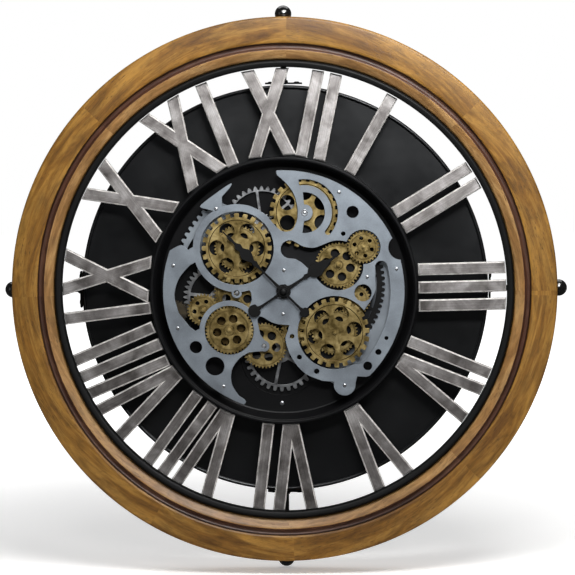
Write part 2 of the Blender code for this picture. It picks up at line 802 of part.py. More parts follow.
def toothed_sector(clock, finish):
    """A fixed part of a large toothed ring, bolted in front of the mid plate."""
    sizes = (SECTOR_TEETH, SECTOR_TIP, SECTOR_ROOT, 0.0, 0.3, 0.0)
    rim = toothed(*sizes, 300, 360) + toothed(*sizes, 0, 34)
    inner = arc((0, 0), 79.0, 34, 7.5) + arc((0, 0), 64.0, 9.0, 4.0)
    inner += arc((0, 0), 79.0, 5.5, -19.7) + arc((0, 0), 64.0, -18.2, -23.2)
    inner += arc((0, 0), 79.0, -21.7, -60)
    clock.add("toothed_sector", prism_mesh("sector", [rim + inner], *SECTOR), finish, SECTOR_CENTRE)


def pillars(clock, finish):
    floor = DISH_FLOOR + SHEET + GAP
    for n, place in enumerate(PILLARS, 1):
        body = prism_mesh("pillar", [circle((0, 0), PILLAR_RADIUS, 10)], floor, FRONT_PLATE[0] - GAP)
        clock.add(f"pillar_{n}", body, finish, place)


# ---------------------------------------------------------------- wheels


def small_hole_wheel(name, teeth, phase, holes, back=FINE_WHEELS[0], front=FINE_WHEELS[1]):
    return prism_mesh(name, [fine_outline(teeth, phase), *holes], back, front)


def coarse_wheel(clock, name, place, phase, finish):
    outline = toothed(COARSE_TEETH, COARSE_TIP, COARSE_ROOT, phase, COARSE_CREST)
    holes = ring_of_holes(6, 22.0, 8.4, 0.0, 8)
    bore = circle((0, 0), ARBOR + GAP, 10)
    clock.add(name, prism_mesh(name, [outline, *holes, bore], *FRONT_WHEELS), finish, place)


def brass_wheels(clock, finish, phases):
    rear = MID_PLATE[0] - 1.0
    capped = FRONT_PLATE[0] - GAP
    through = FRONT_WHEELS[1] + 1.0
    coarse_wheel(clock, "upper_left_wheel", UPPER_LEFT, 0.0, finish)
    body = small_hole_wheel("wheel", LARGE_TEETH, phases["upper_left"], [])
    body = joined(body, arbor_mesh("arbor", rear, through))
    clock.add("upper_left_arbor", body, finish, UPPER_LEFT)

    coarse_wheel(clock, "lower_right_wheel", LOWER_RIGHT, 3.75, finish)
    body = small_hole_wheel("wheel", LARGE_TEETH, phases["lower_right"], [])
    pinion_phase = meshing_phase(
        SILVER_BOTTOM, SILVER_BOTTOM_TEETH, 0.0, LOWER_RIGHT, BOTTOM_PINION_TEETH
    )
    pinion = module_outline(BOTTOM_MODULE, BOTTOM_PINION_TEETH, pinion_phase)
    arbor = arbor_mesh("arbor", REAR_WHEELS[0] - 0.6, through)
    body = joined(body, arbor, prism_mesh("pinion", [pinion], *REAR_WHEELS))
    clock.add("lower_right_arbor", body, finish, LOWER_RIGHT)

    outline = toothed(COARSE_TEETH, COARSE_TIP, COARSE_ROOT, 1.25, COARSE_CREST)
    body = prism_mesh("wheel", [outline, *ring_of_holes(6, 21.0, 8.0, 0.0)], *TOP_WHEEL)
    pinion_phase = meshing_phase(SILVER_TOP, SILVER_TOP_TEETH, 0.0, TOP, TOP_PINION_TEETH)
    pinion = module_outline(TOP_MODULE, TOP_PINION_TEETH, pinion_phase)
    arbor = arbor_mesh("arbor", REAR_WHEELS[0] - 0.6, capped)
    body = joined(body, arbor, prism_mesh("pinion", [pinion], *REAR_WHEELS))
    clock.add("top_wheel", body, finish, TOP)

    holes = ring_of_holes(6, 13.4, 4.8, 20.0, 6)
    plain = (
        ("upper_right", UPPER_RIGHT, LARGE_TEETH, holes, capped),
        ("right_small", RIGHT_SMALL, SMALL_TEETH, [], capped),
        ("left_small", LEFT_SMALL, SMALL_TEETH, ring_of_holes(6, 9.9, 2.4, 11.0, 6), capped),
        ("bottom", BOTTOM, LARGE_TEETH, holes, FRONT_PLATE[1] - 0.5),
        ("centre_left", CENTRE_LEFT, LARGE_TEETH, holes, FRONT_PLATE[1] - 0.5),
        ("idler", IDLER, SMALL_TEETH, [], capped),
    )
    for name, place, teeth, cuts, front in plain:
        body = small_hole_wheel("wheel", teeth, phases[name], cuts)
        clock.add(f"{name}_wheel", joined(body, arbor_mesh("arbor", rear, front)), finish, place)

    body = small_hole_wheel("pinion", UPPER_PINION_TEETH, phases["right_front"], [])
    face = [fine_outline(SMALL_TEETH, 0.0), *ring_of_holes(6, 9.9, 2.4, 15.0, 6)]
    body = joined(body, prism_mesh("face", face, *FRONT_WHEELS), arbor_mesh("arbor", rear, through))
    clock.add("right_front_wheel", body, finish, RIGHT_FRONT)

    body = small_hole_wheel("pinion", SMALL_TEETH, phases["lower_left"], [])
    face = [fine_outline(FACE_TEETH, 0.0), *ring_of_holes(6, 13.6, 4.8, 10.0, 8)]
    body = joined(body, prism_mesh("face", face, *FRONT_WHEELS), arbor_mesh("arbor", rear, through))
    clock.add("lower_left_wheel", body, finish, LOWER_LEFT)


def module_outline(module, teeth, phase, crest=0.10, valley=0.12):
    radius = pitch_radius(module, teeth)
    return toothed(teeth, radius + 0.75 * module, radius - 1.15 * module, phase, crest, valley)


def silver_wheels(clock, finish, phases):
    ends = (DISH_FLOOR + 0.2, FRONT_PLATE[0] - GAP)
    outline = module_outline(TOP_MODULE, SILVER_TOP_TEETH, 0.0)
    windows = spoke_windows(6, 9.0, 36.5, 3.0, 38.0)
    body = prism_mesh("wheel", [outline, *windows], *REAR_WHEELS)
    pinion = small_hole_wheel("pinion", TOP_FINE_TEETH, phases["silver_top"], [])
    body = joined(body, arbor_mesh("arbor", *ends), pinion)
    clock.add("silver_top_wheel", body, finish, SILVER_TOP)

    outline = module_outline(BOTTOM_MODULE, SILVER_BOTTOM_TEETH, 0.0)
    windows = spoke_windows(5, 9.0, 34.0, 3.4, 42.0)
    body = prism_mesh("wheel", [outline, *windows], *REAR_WHEELS)
    body = joined(body, arbor_mesh("arbor", ends[0], MID_PLATE[0] - 1.0))
    clock.add("silver_bottom_wheel", body, finish, SILVER_BOTTOM)

    radius = pitch_radius(LEFT_MODULE, SILVER_LEFT_TEETH)
    outline = toothed(SILVER_LEFT_TEETH, radius + 2.0, radius - 2.6)
    windows = spoke_windows(5, 9.0, 31.0, 3.4, 30.0)
    body = prism_mesh("wheel", [outline, *windows], *REAR_WHEELS)
    body = joined(body, arbor_mesh("arbor", ends[0], MID_PLATE[0] - 1.0))
    clock.add("silver_left_wheel", body, finish, SILVER_LEFT)


# ---------------------------------------------------------------- hands and what drives them


def hand_outline(half_widths):
    """A hand pointing up, from (distance from the hub, half width) pairs, tail first."""
    right = [(width, reach) for reach, width in half_widths]
    return right + [(-x, y) for x, y in reversed(right)]


def hands(clock, finish):
    hour = [(-45.0, 2.6), (-42.6, 5.6), (-38.2, 7.0), (-33.6, 5.4), (-30.6, 1.6), (-8.0, 1.6)]
    hour += [(-6.0, 5.6), (0.0, 8.2), (6.0, 5.6), (9.0, 2.0), (26.0, 1.4), (29.6, 2.8)]
    hour += [(33.4, 2.0), (37.0, 5.6), (44.5, 8.4), (51.0, 5.4), (56.0, 4.6), (60.0, 2.0)]
    hour += [(75.2, 0.7)]
    minute = [(-37.6, 2.0), (-35.4, 4.6), (-32.4, 5.6), (-29.0, 4.4), (-26.6, 1.5), (-7.0, 1.5)]
    minute += [(-4.5, 4.5), (0.0, 6.6), (4.5, 4.5), (8.0, 1.8), (31.0, 1.1), (40.0, 2.0)]
    minute += [(44.0, 3.0), (47.0, 2.0), (52.0, 4.6), (59.0, 6.4), (65.0, 3.0), (70.0, 4.0)]
    minute += [(75.0, 1.4), (83.0, 2.0), (86.0, 0.9), (93.4, 0.6)]
    bore = circle((0, 0), 1.7, 10)
    flat = prism_mesh("hand", [hand_outline(hour), bore], *HOUR_HAND)
    piece = clock.add("hour_hand", flat, finish)
    piece.rotation_euler.z = -radians(HOUR_ANGLE)
    pin = prism_mesh("pin", [circle((0, 0), 1.3, 10)], HOUR_HAND[0] - 0.2, MINUTE_HAND[1])
    flat = joined(prism_mesh("hand", [hand_outline(minute)], *MINUTE_HAND), pin)
    piece = clock.add("minute_hand", flat, finish)
    piece.rotation_euler.z = -radians(MINUTE_ANGLE)
    front = MINUTE_HAND[1] + GAP
    cap = [(0.0, front), (4.2, front), (4.2, front + 1.2), (2.8, front + 3.0), (0.0, front + 3.6)]
    clock.add("hand_cap", turned_mesh("cap", cap, 16), finish)


def movement(clock, plastic, metal):
    """The quartz movement behind the dish: case with its threaded bush, cell and setting knob."""
    case = box_mesh("case", (-CASE_HALF, -CASE_HALF, CASE_BACK), (CASE_HALF, CASE_HALF, CASE_FRONT))
    pocket = box_mesh("pocket", (9.2, -26.0, CASE_BACK - 5), (25.2, 26.0, CASE_FRONT - 3))
    case = cut(case, pocket)
    bush = prism_mesh("bush", [circle((0, 0), BUSH_RADIUS, 14)], CASE_FRONT - 2, HOUR_HAND[0] - 0.6)
    clock.add("movement_case", joined(case, bush), plastic)
    depth = CASE_BACK + BATTERY_RADIUS + 0.4
    half = BATTERY_LENGTH / 2
    cell = rod_mesh("cell", BATTERY_RADIUS, (17.2, -half, depth), (17.2, half, depth), 16)
    clock.add("movement_battery", cell, metal)
    back, front = CASE_BACK - 5.0, CASE_BACK - GAP
    knob = toothed(12, KNOB_TIP, KNOB_ROOT)
    clock.add("set_knob", prism_mesh("knob", [knob], back, front), plastic, KNOB_PLACE)


def gear_drive(clock, plastic, metal, brass, phases):
    """The battery box with the motor that turns the gears, behind the drum's face."""
    left, right = BOX_CENTRE[0] - BOX_SIZE[0] / 2, BOX_CENTRE[0] + BOX_SIZE[0] / 2
    low, high = BOX_CENTRE[1] - BOX_SIZE[1] / 2, BOX_CENTRE[1] + BOX_SIZE[1] / 2
    front = DRUM_FACE - GAP
    box = box_mesh("box", (left, low, BOX_BACK), (right, high, front))
    pocket = box_mesh("pocket", (left + 4, low + 3, BOX_BACK - 5), (left + 56, low + 19, front - 2))
    slot = (left + 40, high - 14)
    switch_slot = box_mesh(
        "slot", (slot[0] - 7, slot[1] - 3, BOX_BACK - 5), (slot[0] + 7, slot[1] + 3, BOX_BACK + 3)
    )
    shaft_hole = prism_mesh("hole", [circle(DRIVE, 2.9, 12)], front - 3, front + 5)
    clock.add("drive_box", cut(box, pocket, switch_slot, shaft_hole), plastic)
    depth = BOX_BACK + BATTERY_RADIUS + 0.4
    row = low + 11.0
    start = left + 5.5
    ends = ((start, row, depth), (start + BATTERY_LENGTH, row, depth))
    cell = rod_mesh("cell", BATTERY_RADIUS, *ends, 16)
    clock.add("drive_battery", cell, metal)
    lever = box_mesh("lever", (-2.5, -2.6, BOX_BACK - 1.8), (2.5, 2.6, BOX_BACK + 2.6))
    clock.add("drive_switch", lever, plastic, (slot[0] - 4.0, slot[1]))

    pinion_radius = pitch_radius(LEFT_MODULE, DRIVE_PINION_TEETH)
    turn = meshing_phase(SILVER_LEFT, SILVER_LEFT_TEETH, 0.0, DRIVE, DRIVE_PINION_TEETH)
    pinion = toothed(DRIVE_PINION_TEETH, pinion_radius + 1.6, pinion_radius - 2.3, turn)
    fine = small_hole_wheel("fine", DRIVE_FINE_TEETH, phases["drive"], [])
    shaft = arbor_mesh("shaft", front - 2.4, FRONT_PLATE[0] - GAP)
    body = joined(fine, shaft, prism_mesh("pinion", [pinion], *REAR_WHEELS))
    clock.add("drive_shaft", body, brass, DRIVE)


def main():
    clear_scene()
    wood = material("mango_wood", (0.45, 0.23, 0.07), 0.5, 0.0)
    black = material("black_steel", (0.02, 0.02, 0.022), 0.4, 0.3)
    pewter = material("pewter", (0.36, 0.34, 0.32), 0.35, 0.9)
    plate = material("satin_silver", (0.38, 0.42, 0.46), 0.4, 0.8)
    brass = material("antique_brass", (0.42, 0.28, 0.10), 0.35, 0.9)
    silver = material("grey_steel", (0.35, 0.37, 0.39), 0.35, 0.9)
    plastic = material("black_plastic", (0.03, 0.03, 0.03), 0.5, 0.0)
    gloss = material("gloss_black", (0.01, 0.01, 0.01), 0.15, 0.2)
    clock = Clock()
    phases = fine_phases()
    wood_ring(clock, wood)
    dial_hoop(clock, black)
    for hour, groups in NUMERALS.items():
        numeral(clock, hour, groups, pewter)
    gear_dish(clock, black)
    back_drum(clock, black)
    hanger_strap(clock, silver)
    support_rods(clock, black, gloss)
    mid_plate(clock, plate)
    toothed_sector(clock, black)
    front_plate(clock, plate)
    pillars(clock, silver)
    brass_wheels(clock, brass, phases)
    silver_wheels(clock, silver, phases)
    hands(clock, black)
    movement(clock, plastic, silver)
    gear_drive(clock, plastic, silver, brass, phases)


main()
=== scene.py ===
"""The looks of the open-dial wall clock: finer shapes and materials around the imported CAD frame.

Outlines are drawn in the clock's own millimetres, as across, up and depth, where depth is the
distance from the wall. The world is in metres with +Z up, and the dial faces -Y.
"""

import json
from math import atan2, ceil, cos, degrees, hypot, pi, radians, sin

import bmesh
import bpy
from mathutils import Matrix, Vector
from mathutils.geometry import tessellate_polygon


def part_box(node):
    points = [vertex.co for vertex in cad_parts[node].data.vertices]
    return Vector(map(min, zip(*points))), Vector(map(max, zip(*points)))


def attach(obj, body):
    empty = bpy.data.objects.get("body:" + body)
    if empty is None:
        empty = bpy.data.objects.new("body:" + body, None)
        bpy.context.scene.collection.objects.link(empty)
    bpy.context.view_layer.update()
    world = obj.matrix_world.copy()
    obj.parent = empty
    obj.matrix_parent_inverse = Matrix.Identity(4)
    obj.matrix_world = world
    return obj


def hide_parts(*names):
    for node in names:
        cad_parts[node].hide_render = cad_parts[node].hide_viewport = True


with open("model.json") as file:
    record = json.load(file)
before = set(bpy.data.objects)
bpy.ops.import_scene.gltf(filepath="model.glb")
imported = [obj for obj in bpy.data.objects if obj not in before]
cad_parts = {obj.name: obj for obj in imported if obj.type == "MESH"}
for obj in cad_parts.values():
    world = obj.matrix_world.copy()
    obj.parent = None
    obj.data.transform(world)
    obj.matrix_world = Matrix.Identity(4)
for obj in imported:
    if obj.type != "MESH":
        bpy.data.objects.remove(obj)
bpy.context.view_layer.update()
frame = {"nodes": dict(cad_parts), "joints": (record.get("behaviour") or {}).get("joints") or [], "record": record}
MM = 0.001
HUB = (0.0, 0.0)


# ---------------------------------------------------------------- sizes taken from the frame


def layer(node):
    """The back and front depths of a CAD node, in millimetres from the wall."""
    low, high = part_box(node)
    return -high.y / MM, -low.y / MM


def half_width(node):
    low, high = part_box(node)
    return (high.x - low.x) / 2 / MM


WOOD_BACK, WOOD_FRONT = layer("wood_ring")
WOOD_OUTER = half_width("wood_ring")
HOOP_BACK, HOOP_FRONT = layer("dial_hoop")
HOOP_OUTER = half_width("dial_hoop")
HOOP_INNER = HOOP_OUTER - 7.5
DRUM_RADIUS = half_width("back_drum")
DRUM_BACK, DRUM_BEAD = layer("back_drum")
DRUM_FACE = DRUM_BEAD - 2.8
DISH_SKIRT, DISH_BEAD = layer("gear_dish")
DISH_RIM = half_width("gear_dish")
DISH_FLOOR = DISH_BEAD - 16.8
BAR_BACK, BAR_FRONT = layer("numeral_01")
PLATE = layer("front_plate")
FRONT_WHEELS = layer("upper_left_wheel")
SECTOR = layer("toothed_sector")
FINE_WHEELS = (PLATE[0] - 6.0, PLATE[0] - 4.0)
TOP_WHEEL = (PLATE[0] - 3.2, PLATE[0] - 1.4)
MID_PLATE = (PLATE[0] - 10.5, PLATE[0] - 9.0)
REAR_WHEELS = (PLATE[0] - 15.0, PLATE[0] - 13.0)
HOUR_HAND = layer("hour_hand")
MINUTE_HAND = (HOUR_HAND[1] + 0.6, HOUR_HAND[1] + 1.8)
CASE = (layer("movement_case")[0], DISH_FLOOR - 0.3)
ROD_DEPTH = (layer("finial_top")[0] + layer("finial_top")[1]) / 2
PLACES = {
    joint["name"].rsplit("_", 1)[0]: (joint["pos_m"][0] / MM, joint["pos_m"][2] / MM)
    for joint in frame["joints"]
    if "pos_m" in joint
}
UPPER_LEFT, LOWER_LEFT = PLACES["upper_left"], PLACES["lower_left"]
UPPER_RIGHT, RIGHT_FRONT = PLACES["upper_right"], PLACES["right_front"]
LOWER_RIGHT, TOP, BOTTOM = PLACES["lower_right"], PLACES["top"], PLACES["bottom"]
BOSS = PLACES["centre_left"]

# Wheels, as in the CAD: module x teeth / 2 is the pitch radius
FINE_MODULE, TOP_MODULE, BOTTOM_MODULE, LEFT_MODULE = 1.236, 2.25, 2.47, 1.825
LARGE, SMALL = 40, 28  # teeth
SILVER_TOP, SILVER_BOTTOM, SILVER_LEFT = 36, 32, 40
TOP_PINION, BOTTOM_PINION, LEFT_PINION = 8, 20, 12
SILVER_PINION, FRONT_PINION, SHAFT_TEETH = 20, 15, 19
COARSE_TEETH, COARSE_TIP, COARSE_ROOT = 24, 38.6, 33.6
ARBOR = 2.0
PIN_TOP = 68.9
PLATE_EDGE = 133.0
RING_WINDOW, RING_EDGE = 40.5, 48.5
SMALL_RING_WINDOW, SMALL_RING_EDGE = 27.0, 32.9
BOSS_RADIUS = 5.7

# Numerals
BAR_WIDTH, BAR_PITCH, BAR_INNER, BAR_OUTER = 13.2, 20.0, 148.4, 244.7
BAR_BEVEL = 1.5
V_SPREAD, X_SPREAD = 18.4, 19.2
# Each numeral is one or two groups of strokes: (letters, degrees from the hour, clockwise)
NUMERALS = {
    1: (("I", -0.6),),
    2: (("II", -1.2),),
    3: (("III", -1.2),),
    4: (("I", -7.9), ("V", 1.1)),
    5: (("V", 0.3),),
    6: (("V", -2.7), ("I", 6.9)),
    7: (("V", -4.8), ("II", 6.3)),
    8: (("V", -7.0), ("III", 7.0)),
    9: (("I", -7.1), ("X", 5.1)),
    10: (("X", 0.8),),
    11: (("X", -4.0), ("I", 8.5)),
    12: (("X", -4.5), ("II", 11.6)),
}
HOUR_ANGLE, MINUTE_ANGLE = 56.3, 315.0  # degrees clockwise from twelve
WOOD_SEAMS = (-1.0, 44.0, 89.0, 137.0, 181.0, 240.0, 271.5, 316.0)  # degrees from the right


# ---------------------------------------------------------------- outlines


def polar(radius, angle, centre=HUB):
    """The point at this radius and angle, in degrees counter-clockwise from the right."""
    return (centre[0] + radius * cos(radians(angle)), centre[1] + radius * sin(radians(angle)))


def arc(centre, radius, start, end, step=4.0):
    count = max(2, ceil(abs(end - start) / step))
    return [polar(radius, start + (end - start) * n / count, centre) for n in range(count + 1)]


def circle(centre, radius, count=40, turn=1.3):
    return [polar(radius, turn + 360.0 * n / count, centre) for n in range(count)]


def smooth(points, per_span=6):
    """Points along a Catmull-Rom curve through the given ones."""
    ends = [points[0], *points, points[-1]]
    found = []
    for before, a, b, after in zip(ends, ends[1:], ends[2:], ends[3:]):
        for n in range(per_span):
            t = n / per_span
            rising = [(b[k] - before[k]) * t for k in (0, 1)]
            bend = [(2 * before[k] - 5 * a[k] + 4 * b[k] - after[k]) * t**2 for k in (0, 1)]
            turn = [(3 * a[k] - before[k] - 3 * b[k] + after[k]) * t**3 for k in (0, 1)]
            found.append(tuple(0.5 * (2 * a[k] + rising[k] + bend[k] + turn[k]) for k in (0, 1)))
    return [*found, points[-1]]


def eased(outline, reach, cuts=3):
    """Each corner of a closed outline rounded, reaching at most this far along its edges."""
    found = []
    for n, here in enumerate(outline):
        before, after = outline[n - 1], outline[(n + 1) % len(outline)]
        ends = []
        for other in (before, after):
            length = max(hypot(other[0] - here[0], other[1] - here[1]), 1e-6)
            share = min(reach, 0.45 * length) / length
            ends.append([here[k] + (other[k] - here[k]) * share for k in (0, 1)])
        for cut in range(cuts + 1):
            t = cut / cuts
            found.append(
                tuple(
                    ends[0][k] * (1 - t) ** 2 + 2 * here[k] * t * (1 - t) + ends[1][k] * t**2
                    for k in (0, 1)
                )
            )
    return found


def rounded_box(low, high, radius):
    corners = [(low[0], low[1]), (high[0], low[1]), (high[0], high[1]), (low[0], high[1])]
    return eased(corners, radius, 5)


def turned_point(point, angle):
    across, up = point
    turn = radians(angle)
    return (across * cos(turn) - up * sin(turn), across * sin(turn) + up * cos(turn))


def moved(outline, centre, angle=0.0):
    placed = [turned_point(point, angle) for point in outline]
    return [(x + centre[0], y + centre[1]) for x, y in placed]


def crossing(centre, radius, other, other_radius):
    """Where two circles cross, as the two angles about the first one's centre."""
    across, up = other[0] - centre[0], other[1] - centre[1]
    reach = hypot(across, up)
    share = (radius**2 + reach**2 - other_radius**2) / (2 * radius * reach)
    half = degrees(atan2((1 - share**2) ** 0.5, share))
    middle = degrees(atan2(up, across))
    return middle - half, middle + half


def toothed(teeth, tip, root, phase=0.0, crest=0.24, valley=0.32, start=0.0, end=360.0):
    """Teeth round the origin with curved flanks and eased tips."""
    pitch = 360.0 / teeth
    height = tip - root
    side = [
        ((1 - valley) / 2, root),
        ((1 - valley) / 2 * 0.82 + crest / 2 * 0.18, root + 0.16 * height),
        (crest / 4 + (1 - valley) / 4 + 0.025, root + 0.55 * height),
        (crest / 2 + 0.02, tip - 0.10 * height),
        (crest / 2 - 0.03, tip),
    ]
    found = []
    for n in range(teeth):
        middle = phase + n * pitch
        if start <= middle % 360.0 <= end:
            found += [polar(radius, middle - share * pitch) for share, radius in side]
            found += [polar(radius, middle + share * pitch) for share, radius in reversed(side)]
    return found


def ring_of_holes(count, radius, hole, turn=0.0):
    return [circle(polar(radius, turn + 360.0 * n / count), hole, 32, turn) for n in range(count)]


def spoke_windows(count, inner, outer, spoke, turn=0.0):
    """The openings between straight spokes of this width, with eased corners."""
    found = []
    for n in range(count):
        start = turn + 360.0 * n / count
        end = start + 360.0 / count
        far = degrees(spoke / 2 / outer)
        near = degrees(spoke / 2 / inner)
        window = arc(HUB, outer, start + far, end - far, 6.0)
        found.append(eased(window + arc(HUB, inner, end - near, start + near, 12.0), 1.2, 2))
    return found


# ---------------------------------------------------------------- meshes


def solid(points, faces):
    """A closed mesh from points given as across, up and depth, in millimetres."""
    shape = bmesh.new()
    verts = [shape.verts.new((x * MM, -depth * MM, y * MM)) for x, y, depth in points]
    for face in faces:
        shape.faces.new([verts[n] for n in face])
    bmesh.ops.recalc_face_normals(shape, faces=shape.faces)
    mesh = bpy.data.meshes.new("solid")
    shape.to_mesh(mesh)
    shape.free()
    return mesh


def tidied(outline):
    """The outline counter-clockwise, without points on top of each other."""
    nearest = 0.01
    steps = zip(outline, [outline[-1], *outline])
    kept = [here for here, last in steps if hypot(here[0] - last[0], here[1] - last[1]) > nearest]
    area = sum(a[0] * b[1] - b[0] * a[1] for a, b in zip(kept, kept[1:] + kept[:1]))
    return kept if area > 0 else kept[::-1]


def shifted(outline, distance):
    """A counter-clockwise outline moved inwards by this distance, with mitred corners."""
    found = []
    for n, here in enumerate(outline):
        normals = []
        for a, b in ((outline[n - 1], here), (here, outline[(n + 1) % len(outline)])):
            length = hypot(b[0] - a[0], b[1] - a[1])
            normals.append(((a[1] - b[1]) / length, (b[0] - a[0]) / length))
        (ax, ay), (bx, by) = normals
        scale = distance / max(0.5, 1 + ax * bx + ay * by)
        found.append((here[0] + (ax + bx) * scale, here[1] + (ay + by) * scale))
    return found


def plate(outlines, back, front, bevel=0.2):
    """A flat piece with a bevelled front edge: the first outline with the others cut out of it."""
    rings = [tidied(outline) for outline in outlines]
    insets = [shifted(ring, bevel if n == 0 else -bevel) for n, ring in enumerate(rings)]
    levels = ((rings, back), (rings, front - bevel), (insets, front))
    total = sum(len(ring) for ring in rings)
    points = [(x, y, depth) for outlines_at, depth in levels for ring in outlines_at for x, y in ring]
    back_face = tessellate_polygon([[Vector((x, y, 0.0)) for x, y in ring] for ring in rings])
    front_face = tessellate_polygon([[Vector((x, y, 0.0)) for x, y in ring] for ring in insets])
    faces = [tuple(triangle) for triangle in back_face]
    faces += [tuple(n + 2 * total for n in triangle) for triangle in front_face]
    first = 0
    for ring in rings:
        for n in range(len(ring)):
            a, b = first + n, first + (n + 1) % len(ring)
            for level in (0, total):
                faces.append((a + level, b + level, b + level + total, a + level + total))
        first += len(ring)
    return solid(points, faces)


def turned(profile, centre=HUB, steps=64):
    """A closed profile of (radius, depth) points turned about the depth axis."""
    points, rows = [], []
    for radius, depth in profile:
        count = 1 if radius < 1e-6 else steps
        rows.append(range(len(points), len(points) + count))
        points += [(*polar(radius, 360.0 * n / steps, centre), depth) for n in range(count)]
    faces = []
    for low, high in zip(rows, rows[1:] + rows[:1]):
        for n in range(steps):
            after = (n + 1) % steps
            if len(low) > 1 and len(high) > 1:
                faces.append((low[n], low[after], high[after], high[n]))
            elif len(low) > 1:
                faces.append((low[n], low[after], high[0]))
            elif len(high) > 1:
                faces.append((low[0], high[after], high[n]))
    return solid(points, faces)


def rod_profile(radius, back, front):
    """The profile of a plain rod, from axis to axis."""
    return [(0, back), (radius, back), (radius, front), (0, front)]


def knob_profile(profile, reach, cuts=3):
    """A profile from axis to axis, with its corners away from the axis rounded."""
    soft = eased(profile, reach, cuts)
    return [profile[0]] + soft[cuts + 1 : -(cuts + 1)] + [profile[-1]]


def joined(*meshes):
    """The meshes side by side in one mesh, as they are."""
    shape = bmesh.new()
    for mesh in meshes:
        shape.from_mesh(mesh)
    made = bpy.data.meshes.new("joined")
    shape.to_mesh(made)
    shape.free()
    return made


def combined(mesh, others, operation):
    body = bpy.data.objects.new("body", mesh)
    bpy.context.scene.collection.objects.link(body)
    helpers = []
    for other in others:
        helper = bpy.data.objects.new("helper", other)
        bpy.context.scene.collection.objects.link(helper)
        change = body.modifiers.new("helper", "BOOLEAN")
        change.operation = operation
        change.solver = "MANIFOLD"
        change.object = helper
        helpers.append(helper)
    bpy.context.view_layer.update()
    made = bpy.data.meshes.new_from_object(body.evaluated_get(bpy.context.evaluated_depsgraph_get()))
    for helper in (body, *helpers):
        bpy.data.objects.remove(helper, do_unlink=True)
    return made


def union(mesh, *others):
    return combined(mesh, others, "UNION") if others else mesh


def cut(mesh, *others):
    return combined(mesh, others, "DIFFERENCE") if others else mesh


def transformed(mesh, matrix):
    made = mesh.copy()
    made.transform(matrix)
    return made


def placed(mesh, x, y, depth=0.0, turn=0.0):
    """A copy of a mesh drawn about the origin, moved across, up and forward, and turned clockwise."""
    shift = Matrix.Translation((x * MM, -depth * MM, y * MM))
    return transformed(mesh, shift @ Matrix.Rotation(radians(turn), 4, "Y"))


def paint(mesh, rule):
    """Gives each face the finish that rule(radius, depth, front share of its normal) names."""
    for face in mesh.polygons:
        middle = face.center
        face.material_index = rule(hypot(middle.x, middle.z) / MM, -middle.y / MM, -face.normal.y)


def lay_grain(mesh, pick):
    """Writes 'grain': each corner's place along and across the line that pick(middle) names."""
    values = []
    for face in mesh.polygons:
        (x, y), angle, shift = pick((face.center.x / MM, face.center.z / MM))
        c, s = cos(radians(angle)), sin(radians(angle))
        for index in face.vertices:
            point = mesh.vertices[index].co
            dx, dy = point.x - x * MM, point.z - y * MM
            values += [dx * c + dy * s + shift, dy * c - dx * s, point.y]
    found = mesh.attributes.new("grain", "FLOAT_VECTOR", "CORNER")
    found.data.foreach_set("vector", values)


def lay_ring_grain(mesh):
    """Writes 'grain' for the wood ring: along each segment, across it, and into the wood."""
    starts = sorted(seam % 360.0 for seam in WOOD_SEAMS)
    middle_radius = (WOOD_OUTER + HOOP_OUTER) / 2 * MM
    values = []
    for face in mesh.polygons:
        angle = degrees(atan2(face.center.z, face.center.x)) % 360.0
        number = max((n for n, start in enumerate(starts) if start <= angle), default=-1)
        start = starts[number]
        lean = 0.10 if number % 2 else -0.07
        for index in face.vertices:
            point = mesh.vertices[index].co
            turn = radians((degrees(atan2(point.z, point.x)) - start + 30.0) % 360.0)
            along = middle_radius * turn
            across = hypot(point.x, point.z) - middle_radius
            values += [along + 1.7 * number, across + lean * along, point.y]
    found = mesh.attributes.new("grain", "FLOAT_VECTOR", "CORNER")
    found.data.foreach_set("vector", values)


def piece(name, mesh, finishes, body="clock_body", stands_for=(), crease=32.0):
    """Adds a finished piece, which rides on a body and may stand for CAD nodes."""
    mesh.name = name
    chosen = [face.material_index for face in mesh.polygons]
    mesh.materials.clear()
    for finish in finishes:
        mesh.materials.append(finish)
    mesh.polygons.foreach_set("material_index", [min(n, len(finishes) - 1) for n in chosen])
    mesh.shade_smooth()
    mesh.set_sharp_from_angle(angle=radians(crease))
    made = bpy.data.objects.new(name, mesh)
    bpy.context.scene.collection.objects.link(made)
    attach(made, body)
    if stands_for:
        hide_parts(*stands_for)
    return made


# ---------------------------------------------------------------- finishes


